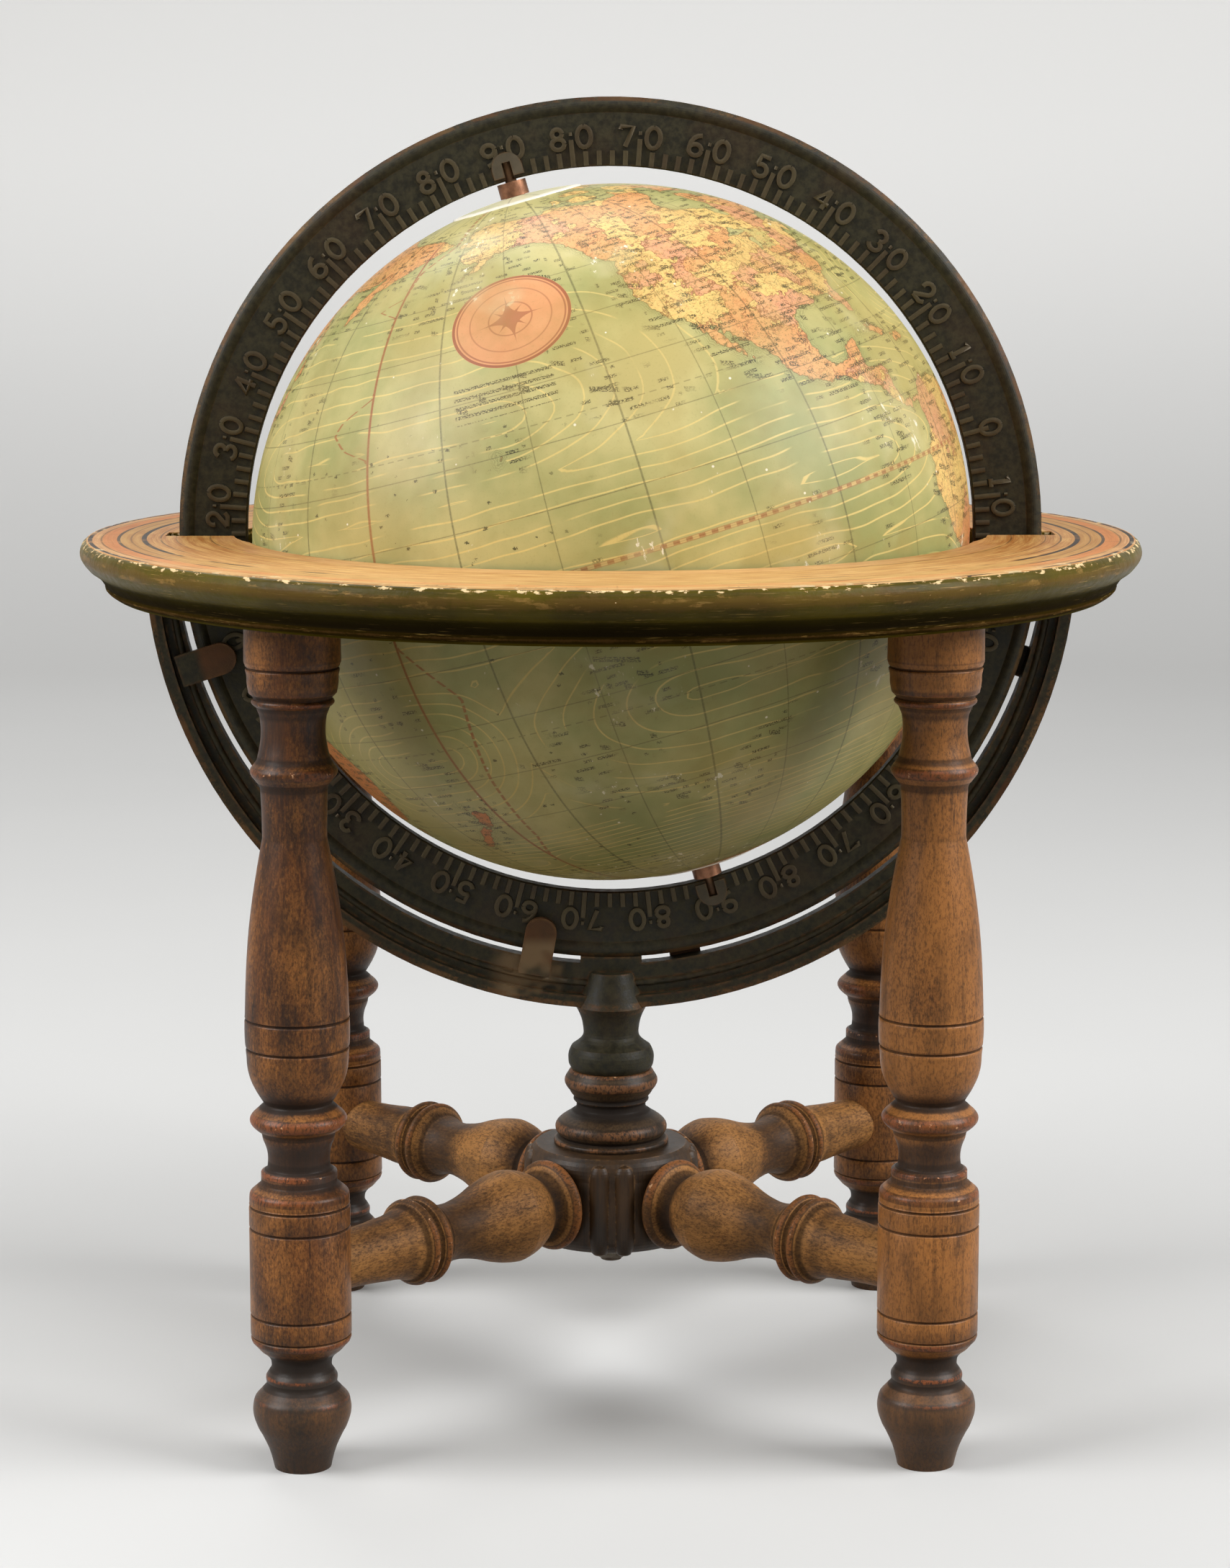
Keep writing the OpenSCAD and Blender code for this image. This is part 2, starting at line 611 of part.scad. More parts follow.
// Cast horseshoe on the front of the ring, its open end at the inner edge, at +Z
module horseshoe() {
    depth = ring_face + horseshoe_h;
    low = keeper_r0 + 0.6;
    crown = window_top - horseshoe_r * 0.6;
    intersection() {
        translate([0, -depth / 2, crown]) along_y(depth, horseshoe_r);
        translate([-horseshoe_r - 1, -depth - 1, low]) cube([2 * horseshoe_r + 2, depth + 2, crown]);
    }
    translate([-horseshoe_r, -depth, low]) cube([2 * horseshoe_r, depth, crown - low]);
}

module meridian_ring() {
    color(iron)
    difference() {
        at_globe() union() {
            rotate([90, 0, 0]) rotate_extrude() polygon(ring_section());
            horseshoe();
            rotate([0, 180, 0]) horseshoe();
        }
        for (south = [false, true]) at_pole(south) {
            // running bore of the pole pin
            translate([0, 0, ring_in_r - 1]) cylinder(h = window_top - ring_in_r + 1, r = pole_bore_r);
            // front window, and the slot that lets the pin in from behind
            translate([-window_half, -ring_t, ring_in_r - 1]) cube([2 * window_half, ring_t, window_top - ring_in_r]);
            translate([-pole_bore_r, 0, ring_in_r - 1]) cube([2 * pole_bore_r, ring_t, window_top - ring_in_r + 1]);
            for (x = [-1, 1]) keeper_screw_at(x) cylinder(h = ring_t - 1, r = keeper_screw_d / 2 + glue_gap);
        }
    }
}

// The middle of a keeper screw on the ring's rear face, with its length along +Z
module keeper_screw_at(side) {
    translate([side * keeper_l * 0.33, ring_face + over, (keeper_r0 + keeper_r1) / 2])
        rotate([90, 0, 0]) children();
}

module keeper(south) {
    color(iron)
    at_pole(south) difference() {
        union() {
            translate([-keeper_l / 2 + 2, ring_face, keeper_r0]) cube([keeper_l - 4, keeper_t, keeper_r1 - keeper_r0]);
            translate([-keeper_l / 2, ring_face, keeper_r0 + 2]) cube([keeper_l, keeper_t, keeper_r1 - keeper_r0 - 4]);
        }
        for (x = [-1, 1]) keeper_screw_at(x) translate([0, 0, -keeper_t - 1])
            cylinder(h = keeper_t + 2, r = keeper_screw_d / 2 + glue_gap);
    }
}

module keeper_screws() {
    color(copper)
    for (south = [false, true]) at_pole(south) for (x = [-1, 1]) keeper_screw_at(x) {
        translate([0, 0, -keeper_t]) cylinder(h = keeper_t + ring_t - 1.4, r = keeper_screw_d / 2);
        translate([0, 0, -keeper_t - keeper_screw_d * 0.4]) difference() {
            cylinder(h = keeper_screw_d * 0.4, r = keeper_screw_d * 0.9);
            cube([2 * keeper_screw_d, 0.5, 0.5], center = true);
        }
    }
}

// Corner of the globe's outline in a plane through its axis, drop being the depth below the surface
function corner(polar, drop) = [(globe_r - drop) * sin(polar), (pole_r - drop) * cos(polar)];

// Point at any polar angle on the chord between two corners, so that all layers lie face to face
function outline(polar, drop) =
    let (first = floor(polar / globe_step), t = polar / globe_step - first)
    corner(first * globe_step, drop) * (1 - t) + corner((first + 1) * globe_step, drop) * t;

// Both ends of a stretch of the outline and every corner between them
function stops(from, to) =
    concat([from], [for (i = [0:360 / globe_step]) if (i * globe_step > from + over && i * globe_step < to - over)
                    i * globe_step], [to]);

// A layer of the globe from one polar angle to another, between two depths below the surface
function layer(from, to, outer, inner) =
    let (angles = stops(from, to))
    concat([for (angle = angles) outline(angle, outer)],
           [for (i = [len(angles) - 1:-1:0]) outline(angles[i], inner)]);

module half_shell() {
    difference() {
        rotate_extrude() polygon(layer(0, 90, print_t, print_t + shell_t));
        cylinder(h = globe_r, r = spigot_d / 2 + glue_gap);
    }
}

module north_shell() {
    color(plaster) at_globe() half_shell();
}

module south_shell() {
    color(plaster) at_pole(true) half_shell();
}

module shell_strip() {
    color(plaster) at_globe() difference() {
        intersection() {
            rotate_extrude() polygon(layer(70, 110, print_t + shell_t, print_t + shell_t + strip_t + 1));
            cube([globe_d, globe_d, strip_w], center = true);
        }
        cylinder(h = strip_w + 2, r = globe_r - print_t - shell_t - strip_t - 0.3, center = true);
    }
}

rod_end = pole_r - print_t - shell_t - rod_d * rod_d / (8 * globe_r) - 0.1;   // where the rod meets the shells

module axis_rod() {
    color(oak) at_globe() difference() {
        cylinder(h = 2 * rod_end, r = rod_d / 2, center = true);
        for (south = [0, 180]) rotate([south, 0, 0]) translate([0, 0, rod_end - pin_root])
            cylinder(h = pin_root + 1, r = pin_d / 2 + glue_gap);
    }
}

module pin(south) {
    color(copper) at_pole(south) translate([0, 0, rod_end - pin_root + glue_gap])
        cylinder(h = ring_in_r + pin_tip - rod_end + pin_root - glue_gap, r = pin_d / 2);
}

// Turned collar: a spigot down through the shell to the rod, and a drum up to the meridian ring
module collar(south) {
    drum_top = ring_in_r - turning_gap;
    color(copper) at_pole(south) difference() {
        union() {
            translate([0, 0, rod_end]) cylinder(h = drum_top - rod_end, r = spigot_d / 2);
            translate([0, 0, disc_top_r]) cylinder(h = drum_top - disc_top_r, r = collar_d / 2);
        }
        translate([0, 0, rod_end - 1]) cylinder(h = drum_top - rod_end + 2, r = pin_d / 2 + glue_gap);
    }
}

// Printed gores from pole disc to pole disc, a hairline apart, on a film of paste
module map_gores() {
    span = 360 / gore_count;
    under = 2;
    color(print_paper) at_globe()
    for (i = [0:gore_count - 1]) rotate([0, 0, i * span])
        rotate_extrude(angle = span - 0.08)
            polygon(layer(pole_disc_deg - under, 180 - pole_disc_deg + under, 0, print_t - glue_gap));
}

// Round paper disc over the gore tips
module pole_disc(south) {
    color(print_paper) at_pole(south) difference() {
        rotate_extrude() polygon(layer(0, pole_disc_deg, -print_t, 0));
        cylinder(h = globe_r * 2, r = spigot_d / 2 + glue_gap);
    }
}

leg(0);  // leg_front_left
leg(1);  // leg_front_right
leg(2);  // leg_rear_left
leg(3);  // leg_rear_right
stretcher(0);  // stretcher_front_left
stretcher(1);  // stretcher_front_right
stretcher(2);  // stretcher_rear_left
stretcher(3);  // stretcher_rear_right
hub();
column();
tie_rod();
tie_washer();
tie_nut();
cradle();
cradle_screws();
horizon_ring();
horizon_paper();
meridian_ring();
keeper(false);  // north_keeper
keeper(true);  // south_keeper
keeper_screws();
north_shell();
south_shell();
shell_strip();
axis_rod();
pin(false);  // north_pin
pin(true);  // south_pin
collar(false);  // north_collar
collar(true);  // south_collar
map_gores();
pole_disc(false);  // north_disc
pole_disc(true);  // south_disc
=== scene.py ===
"""Looks of a table globe on a turned wooden stand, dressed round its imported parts."""

import json
import logging
import math
from collections.abc import Iterable, Sequence
from dataclasses import dataclass, field
from enum import Enum

import bpy
import numpy as np
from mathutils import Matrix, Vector, noise

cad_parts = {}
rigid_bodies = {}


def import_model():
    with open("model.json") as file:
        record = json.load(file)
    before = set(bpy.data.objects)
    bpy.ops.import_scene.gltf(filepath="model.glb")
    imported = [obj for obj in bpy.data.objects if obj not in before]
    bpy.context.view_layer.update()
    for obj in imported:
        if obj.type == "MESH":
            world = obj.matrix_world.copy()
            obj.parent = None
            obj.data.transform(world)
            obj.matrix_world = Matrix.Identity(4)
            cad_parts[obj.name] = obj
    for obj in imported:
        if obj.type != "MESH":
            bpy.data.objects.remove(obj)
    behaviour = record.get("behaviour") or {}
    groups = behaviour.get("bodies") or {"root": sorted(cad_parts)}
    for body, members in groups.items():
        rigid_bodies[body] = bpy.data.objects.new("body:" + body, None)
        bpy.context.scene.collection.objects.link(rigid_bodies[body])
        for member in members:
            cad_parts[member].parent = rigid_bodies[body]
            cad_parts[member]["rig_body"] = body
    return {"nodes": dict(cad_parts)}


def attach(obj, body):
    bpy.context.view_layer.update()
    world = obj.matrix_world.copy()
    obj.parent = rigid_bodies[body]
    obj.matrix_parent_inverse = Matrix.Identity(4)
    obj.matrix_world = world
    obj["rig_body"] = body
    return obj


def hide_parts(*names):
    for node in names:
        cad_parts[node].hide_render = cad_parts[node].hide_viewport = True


log = logging.getLogger("globe")
MM = 0.001
DEGREES = 180 / math.pi
CENTRE_Z_MM = 245.5
EQUATOR_MM = 101.6
LEVEL_MM = 0.04
SMOOTH_DEG = 32.0
Socket = bpy.types.NodeSocket
Value = Socket | float
Colour = tuple[float, float, float]
Bead = tuple[np.ndarray, list[Sequence[int]], np.ndarray]


def paint(red: int, green: int, blue: int) -> Colour:
    """Turns a colour as a painter mixes it, 0 to 255, into the light that a shader wants."""
    return tuple(c / 3294.6 if c < 11 else ((c / 255 + 0.055) / 1.055) ** 2.4 for c in (red, green, blue))


def places(text: str) -> np.ndarray:
    """Reads "lon,lat lon,lat" into rows of longitude and latitude in degrees."""
    return np.array([[float(v) for v in pair.split(",")] for pair in text.split()])


def sphere(lat: np.ndarray, lon: np.ndarray) -> np.ndarray:
    """Directions at latitudes and longitudes in degrees, as rows."""
    la, lo = np.radians(lat), np.radians(lon)
    return np.stack([np.cos(la) * np.cos(lo), np.cos(la) * np.sin(lo), np.sin(la) * np.ones_like(lo)], -1)


def put(name: str, data: bpy.types.ID) -> bpy.types.Object:
    """Makes an object of a mesh, a lamp or a camera, and puts it in the scene."""
    made = bpy.data.objects.new(name, data)
    bpy.context.scene.collection.objects.link(made)
    return made


class Wiring:
    """Lays out and joins the nodes of one node tree. Lengths in it are millimetres."""

    def __init__(self, tree: bpy.types.NodeTree) -> None:
        """Starts on an empty tree."""
        self.tree = tree
        tree.nodes.clear()

    def add(self, kind: str, inputs: dict[str | int, object] | None = None,
            **settings: object) -> bpy.types.Node:
        """Adds a node.

        Args:
            kind: Blender's name for the node, without ShaderNode.
            inputs: What goes into its sockets, a socket of another node or a plain value.
            settings: The node's own settings.

        Returns:
            The node.
        """
        node = self.tree.nodes.new(kind if kind.startswith("Node") else "ShaderNode" + kind)
        for name, setting in settings.items():
            setattr(node, name, setting)
        for name, value in (inputs or {}).items():
            self.feed(node.inputs[name], value)
        return node

    def feed(self, socket: Socket, value: object) -> None:
        """Links a socket to another one, or gives it a plain value."""
        if isinstance(value, bpy.types.NodeSocket):
            self.tree.links.new(value, socket)
        elif socket.type == "RGBA" and len(value) == 3:
            socket.default_value = (*value, 1.0)
        else:
            socket.default_value = value

    def math(self, operation: str, a: Value, b: Value = 0.0) -> Socket:
        """Puts two values through one Math node."""
        return self.add("Math", {0: a, 1: b}, operation=operation).outputs[0]

    def minus(self, a: Value, b: Value) -> Socket:
        """Takes b from a."""
        return self.math("SUBTRACT", a, b)

    def inverse(self, mask: Value) -> Socket:
        """What a mask leaves free."""
        return self.minus(1.0, mask)

    def abs(self, value: Value) -> Socket:
        """A value without its sign."""
        return self.math("ABSOLUTE", value)

    def hypot(self, a: Value, b: Value) -> Socket:
        """The length of the diagonal over two sides."""
        return self.math("SQRT", self.sum(self.product(a, a), self.product(b, b)))

    def sum(self, *values: Value) -> Socket:
        """Adds any number of values."""
        total = values[0]
        for value in values[1:]:
            total = self.math("ADD", total, value)
        return total

    def product(self, *values: Value) -> Socket:
        """Multiplies any number of values."""
        total = values[0]
        for value in values[1:]:
            total = self.math("MULTIPLY", total, value)
        return total

    def either(self, *masks: Value) -> Socket:
        """The largest of several masks."""
        top = masks[0]
        for mask in masks[1:]:
            top = self.math("MAXIMUM", top, mask)
        return top

    def step(self, value: Value, low: float, high: float) -> Socket:
        """A soft step from 0 at low to 1 at high, or the other way round where low is larger."""
        ends = {"From Min": min(low, high), "From Max": max(low, high), "To Min": float(low > high),
                "To Max": float(low <= high)}
        node = self.add("MapRange", {"Value": value, **ends}, interpolation_type="SMOOTHSTEP")
        return node.outputs["Result"]

    def band(self, value: Value, half: float, soft: float) -> Socket:
        """A mask that is 1 where a signed value lies within half of nought."""
        return self.step(self.abs(value), half + soft, half)

    def near_multiple(self, value: Value, pitch: float, offset: float = 0.0) -> Socket:
        """The distance from a value to the nearest multiple of pitch, counted from offset."""
        turned = self.math("ADD", value, pitch * 200.5 - offset)
        return self.abs(self.minus(self.math("MODULO", turned, pitch), pitch / 2))

    def mix(self, share: Value, a: object, b: object) -> Socket:
        """Mixes colour b over colour a."""
        node = self.add("Mix", data_type="RGBA", blend_type="MIX")
        for socket, value in ((node.inputs[0], share), (node.inputs[6], a), (node.inputs[7], b)):
            self.feed(socket, value)
        return node.outputs[2]

    def coat(self, under: object, over: object, *masks: Value) -> Socket:
        """Lays a colour over another one where all the masks are open."""
        return self.mix(self.product(*masks), under, over)

    def coats(self, under: object, *layers: Sequence[object]) -> Socket:
        """Lays coats one over another, each a colour and the masks that it shows through."""
        for over, *masks in layers:
            under = self.coat(under, over, *masks)
        return under

    def noise(self, vector: Socket, scale: float, detail: float = 3.0, rough: float = 0.55) -> Socket:
        """A noise value from 0 to 1, with scale in bumps a millimetre."""
        looks = {"Vector": vector, "Scale": scale, "Detail": detail, "Roughness": rough}
        return self.add("TexNoise", looks).outputs[0]

    def cells(self, vector: Socket, scale: float) -> Socket:
        """Distance to the nearest of many scattered points."""
        return self.add("TexVoronoi", {"Vector": vector, "Scale": scale}).outputs["Distance"]

    def stretch(self, vector: Socket, by: tuple[float, float, float]) -> Socket:
        """Scales a vector along each axis."""
        return self.add("VectorMath", {0: vector, 1: by}, operation="MULTIPLY").outputs[0]

    def drawn(self, vector: Socket, along_z: float) -> Socket:
        """Draws a pattern out along Z, the way that the grain runs."""
        return self.stretch(vector, (1.0, 1.0, along_z))

    def scaled(self, vector: Socket, scale: Value) -> Socket:
        """Scales a vector by one value."""
        return self.add("VectorMath", {0: vector, "Scale": scale}, operation="SCALE").outputs[0]

    def along(self, vector: Socket, direction: Socket | Sequence[float]) -> Socket:
        """The length of a vector along a direction."""
        return self.add("VectorMath", {0: vector, 1: direction}, operation="DOT_PRODUCT").outputs["Value"]

    def parts(self, vector: Socket) -> bpy.types.NodeOutputs:
        """The X, Y and Z of a vector."""
        return self.add("SeparateXYZ", {0: vector}).outputs

    def vector(self, x: Value, y: Value, z: Value = 0.0) -> Socket:
        """A vector from its parts."""
        return self.add("CombineXYZ", {0: x, 1: y, 2: z}).outputs[0]

    def layer(self, name: str, wanted: str = "Fac") -> Socket:
        """Reads a named layer of the mesh."""
        return self.add("Attribute", attribute_name=name).outputs[wanted]

    def solid_place(self) -> Socket:
        """Where a point of the piece is, in millimetres."""
        return self.stretch(self.add("TexCoord").outputs["Object"], (1000.0, 1000.0, 1000.0))

    def use(self, effect: "Effect", inputs: dict[str, object]) -> bpy.types.NodeOutputs:
        """Places a shared effect, feeds it and returns what it gives."""
        node = self.add("Group", node_tree=effect.group())
        for name, value in inputs.items():
            self.feed(node.inputs[name], value)
        return node.outputs


class Effect:
    """A node group that several finishes share."""

    title = "Effect"
    takes: dict[str, tuple[str, object]] = {}
    gives: tuple[str, ...] = ()

    def group(self) -> bpy.types.NodeTree:
        """Builds the group the first time, and returns it."""
        found = bpy.data.node_groups.get(self.title)
        if found:
            return found
        tree = bpy.data.node_groups.new(self.title, "ShaderNodeTree")
        for name, (kind, default) in self.takes.items():
            socket = tree.interface.new_socket(name, in_out="INPUT", socket_type="NodeSocket" + kind)
            socket.default_value = default
        for name in self.gives:
            tree.interface.new_socket(name, in_out="OUTPUT", socket_type="NodeSocketFloat")
        wiring = Wiring(tree)
        given = wiring.add("NodeGroupInput").outputs
        out = wiring.add("NodeGroupOutput")
        for name, socket in self.wire(wiring, given).items():
            wiring.feed(out.inputs[name], socket)
        return tree

    def wire(self, w: Wiring, given: bpy.types.NodeOutputs) -> dict[str, Socket]:
        """Wires the inside of the group and returns a socket for each thing it gives."""
        raise NotImplementedError


class Grain(Effect):
    """Wood grain that runs along Z of its vector: soft figure, dark pores and their height."""

    title = "Wood grain"
    takes = {"Vector": ("Vector", (0.0, 0.0, 0.0)), "Coarseness": ("Float", 1.0)}
    gives = ("Figure", "Pores", "Height")

    def wire(self, w: Wiring, given: bpy.types.NodeOutputs) -> dict[str, Socket]:
        """Wires long soft streaks, short dark pores and a broad cloud."""
        size = w.scaled(given["Vector"], given["Coarseness"])
        streaks = w.noise(w.drawn(size, 0.05), 0.9, 4.0, 0.6)
        cloud = w.noise(w.drawn(size, 0.35), 0.09, 3.0)
        figure = w.step(w.sum(w.product(streaks, 0.62), w.product(cloud, 0.5)), 0.38, 0.74)
        pores = w.step(w.noise(w.drawn(size, 0.09), 3.4, 2.0), 0.58, 0.7)
        fine = w.noise(w.drawn(size, 0.04), 6.0, 2.0)
        return {"Figure": figure, "Pores": pores,
                "Height": w.sum(w.product(fine, 0.4), w.product(pores, -0.6), w.product(streaks, 0.3))}


class Mottle(Effect):
    """Broad and fine unevenness of colour and gloss."""

    title = "Mottle"
    takes = {"Vector": ("Vector", (0.0, 0.0, 0.0)), "Scale": ("Float", 0.05)}
    gives = ("Broad", "Fine")

    def wire(self, w: Wiring, given: bpy.types.NodeOutputs) -> dict[str, Socket]:
        """Wires two noises, one ten times finer than the other."""
        size = w.scaled(given["Vector"], given["Scale"])
        return {"Broad": w.step(w.noise(size, 1.0, 4.0, 0.6), 0.3, 0.7),
                "Fine": w.step(w.noise(size, 11.0, 3.0, 0.65), 0.3, 0.72)}


class Chips(Effect):
    """Ragged chips where a coat has flaked off. Bias makes them likelier from place to place."""

    title = "Chips"
    takes = {"Vector": ("Vector", (0.0, 0.0, 0.0)), "Scale": ("Float", 0.2), "Amount": ("Float", 0.3),
             "Bias": ("Float", 0.0)}
    gives = ("Chip", "Rim")

    def wire(self, w: Wiring, given: bpy.types.NodeOutputs) -> dict[str, Socket]:
        """Wires a ragged noise against a threshold that Amount and Bias set."""
        size = w.scaled(given["Vector"], given["Scale"])
        ragged = w.sum(w.product(w.noise(size, 1.0, 2.0), 0.75),
                       w.product(w.noise(size, 7.0, 4.0, 0.7), 0.25))
        over = w.minus(w.sum(ragged, w.product(given["Bias"], 0.2)),
                      w.minus(0.86, w.product(given["Amount"], 0.4)))
        return {"Chip": w.step(over, 0.0, 0.012), "Rim": w.step(over, -0.035, 0.0)}


class Wear(Effect):
    """Splits the relief layer into what hands have rubbed and what has filled with dirt."""

    title = "Wear"
    takes = {"Vector": ("Vector", (0.0, 0.0, 0.0)), "Relief": ("Float", 0.0), "Amount": ("Float", 0.5)}
    gives = ("Rubbed", "Dirt")

    def wire(self, w: Wiring, given: bpy.types.NodeOutputs) -> dict[str, Socket]:
        """Wires the relief with a noise that breaks its edge up."""
        patchy = w.sum(w.product(w.noise(given["Vector"], 0.11, 3.0), 0.5),
                       w.product(w.noise(given["Vector"], 1.1, 3.0, 0.65), 0.3))
        level = w.sum(given["Relief"], patchy, w.minus(w.product(given["Amount"], 0.6), 0.95))
        return {"Rubbed": w.step(level, 0.0, 0.22),
                "Dirt": w.step(w.sum(given["Relief"], w.product(patchy, -0.25)), -0.05, -0.3)}


class Edge(Effect):
    """Finds the sharp outer edges of a cast piece by comparing its normal with a rounded one."""

    title = "Edge"
    takes = {"Round": ("Vector", (0.0, 0.0, 1.0)), "Flat": ("Vector", (0.0, 0.0, 1.0)),
             "Vector": ("Vector", (0.0, 0.0, 0.0))}
    gives = ("Edge",)

    def wire(self, w: Wiring, given: bpy.types.NodeOutputs) -> dict[str, Socket]:
        """Wires the angle between both normals, broken up by noise."""
        bend = w.inverse(w.along(given["Round"], given["Flat"]))
        patchy = w.noise(given["Vector"], 0.35, 4.0, 0.65)
        return {"Edge": w.product(w.step(bend, 0.01, 0.12), w.step(patchy, 0.36, 0.62))}


GRAIN, MOTTLE, CHIPS, WEAR, EDGE = Grain(), Mottle(), Chips(), Wear(), Edge()


@dataclass(frozen=True)
class Finish:
    """What every finish shares: a name and the plain numbers of its shader."""

    name: str
    roughness: float = 0.5
    metallic: float = 0.0
    coat: float = 0.0
    coat_roughness: float = 0.3
    specular: float = 0.5
    bump_mm: float = 0.08

    def make(self) -> bpy.types.Material:
        """Builds the material once, and returns it."""
        found = bpy.data.materials.get(self.name)
        if found:
            return found
        material = bpy.data.materials.new(self.name)
        material.use_nodes = True
        w = Wiring(material.node_tree)
        shader = w.add("BsdfPrincipled", {"Metallic": self.metallic, "Roughness": self.roughness,
                                          "Coat Weight": self.coat, "Coat Roughness": self.coat_roughness,
                                          "Specular IOR Level": self.specular})
        looks = self.looks(w)
        height = looks.pop("Height", None)
        if height is not None:
            bump = w.add("Bump", {"Strength": 0.6, "Distance": self.bump_mm * MM, "Height": height})
            w.feed(shader.inputs["Normal"], bump.outputs[0])
        for socket, value in looks.items():
            w.feed(shader.inputs[socket], value)
        w.feed(w.add("OutputMaterial").inputs["Surface"], shader.outputs[0])
        return material

    def looks(self, w: Wiring) -> dict[str, object]:
        """Wires the colour and whatever else varies over the surface."""
        raise NotImplementedError


@dataclass(frozen=True)
class TurnedWood(Finish):
    """Stained, varnished wood from the lathe: pale on its swells, red on its beads, dark in its coves."""

    deep: Colour = paint(40, 21, 9)
    warm: Colour = paint(106, 62, 28)
    swell: Colour = paint(172, 113, 58)
    crest: Colour = paint(140, 78, 42)
    shade: Colour = paint(40, 25, 14)
    dirt: Colour = paint(26, 17, 10)
    amount: float = 0.45
    specks: float = 0.16
    fleck: float = 0.4
    smudging: float = 0.45
    shading: float = 0.8
    bead_shade: float = 0.0

    def looks(self, w: Wiring) -> dict[str, object]:
        """Wires grain, faded swells, rubbed beads, dirty coves, painted shade in the necks, painted light
        and shade from piece to piece, and a few pale knocks.
        """
        place, relief, swell = w.layer("place", "Vector"), w.layer("relief"), w.layer("swell")
        grain = w.use(GRAIN, {"Vector": place})
        wear = w.use(WEAR, {"Vector": place, "Relief": relief, "Amount": self.amount})
        knocks = w.use(CHIPS, {"Vector": place, "Scale": 0.55, "Amount": self.specks, "Bias": relief})
        patchy = w.noise(w.drawn(place, 0.5), 0.07, 4.0, 0.6)
        flecks = w.noise(w.drawn(place, 0.5), 1.5, 4.0, 0.75)
        bead = w.step(relief, 0.1, 0.3)
        # pale also takes each piece's painted light and shade from its layer.
        pale = w.sum(w.product(swell, 0.16), 0.04, patchy, w.product(flecks, 0.6), w.layer("painted_light_and_shade"))
        faded = w.step(pale, 0.56, 1.02)
        lines = w.step(w.noise(w.drawn(place, 0.06), 0.55, 3.0, 0.6), 0.54, 0.68)
        smudged = w.step(w.noise(w.drawn(place, 0.4), 0.11, 4.0, 0.65), 0.46, 0.72)
        floorward = w.parts(w.solid_place())[2]
        # Painted shade in the necks and hollows of the turning, stronger towards the floor.
        shade_lower_down = w.sum(0.15, w.product(w.step(floorward, 180.0, 110.0), 0.85))
        shaded = w.product(w.step(w.sum(swell, w.product(patchy, 0.7)), 0.34, -0.3), shade_lower_down)
        trodden = w.step(w.sum(floorward, w.product(patchy, 36.0)), 62.0, 34.0)
        broken = w.product(w.step(patchy, 0.4, 0.56), w.step(flecks, 0.4, 0.54))
        colour = w.coats(
            w.mix(grain["Figure"], self.deep, self.warm),
            (self.swell, faded, w.sum(0.85, w.product(bead, -0.65))),
            (self.deep, w.step(flecks, 0.52, 0.4), self.fleck),
            (self.swell, w.step(flecks, 0.56, 0.66), faded, 0.5),
            (self.deep, lines, 0.36),
            (self.dirt, grain["Pores"], 0.55),
            (self.shade, smudged, self.smudging),
            (self.shade, shaded, self.shading),
            (self.shade, bead, self.bead_shade),
            (paint(48, 42, 35), trodden, 0.72),
            (self.crest, wear["Rubbed"], broken, 0.85),
            (self.dirt, wear["Dirt"], 0.7),
            (w.mix(knocks["Chip"], self.crest, paint(204, 160, 118)), knocks["Rim"]))
        rough = w.sum(self.roughness, w.product(wear["Dirt"], 0.3), w.product(flecks, 0.12))
        return {"Base Color": colour, "Roughness": rough,
                "Height": w.sum(grain["Height"], w.product(flecks, 0.5), w.product(knocks["Chip"], -1.5))}


@dataclass(frozen=True)
class CarvedWood(Finish):
    """The same wood on the hub, which is seen as the carver left it."""

    deep: Colour = paint(28, 20, 12)
    warm: Colour = paint(72, 50, 28)
    rubbed: Colour = paint(134, 98, 60)

    def looks(self, w: Wiring) -> dict[str, object]:
        """Wires upright grain and rubbed edges."""
        place = w.solid_place()
        grain = w.use(GRAIN, {"Vector": place, "Coarseness": 0.9})
        edge = rounded_edge(w, place, 1.6)
        mottle = w.use(MOTTLE, {"Vector": place, "Scale": 0.06})
        cloudy = w.sum(w.product(grain["Figure"], 0.6), w.product(mottle["Broad"], 0.4))
        colour = w.coats(w.mix(cloudy, self.deep, self.warm),
                         (self.rubbed, edge, w.step(mottle["Fine"], 0.2, 0.6)),
                         (paint(24, 14, 9), grain["Pores"], 0.5))
        rough = w.sum(self.roughness, w.product(mottle["Broad"], 0.15))
        return {"Base Color": colour, "Roughness": rough, "Height": grain["Height"]}


def rounded_edge(w: Wiring, place: Socket, radius_mm: float) -> Socket:
    """Wires the edge mask of a cast or carved piece.

    Args:
        w: The wiring of the material.
        place: Where each point is, in millimetres.
        radius_mm: How far the wear reaches from an edge.

    Returns:
        A mask that is 1 on worn edges.
    """
    soft = w.add("Bevel", {"Radius": radius_mm * MM}, samples=6).outputs[0]
    flat = w.add("NewGeometry").outputs["Normal"]
    return w.use(EDGE, {"Round": soft, "Flat": flat, "Vector": place})["Edge"]


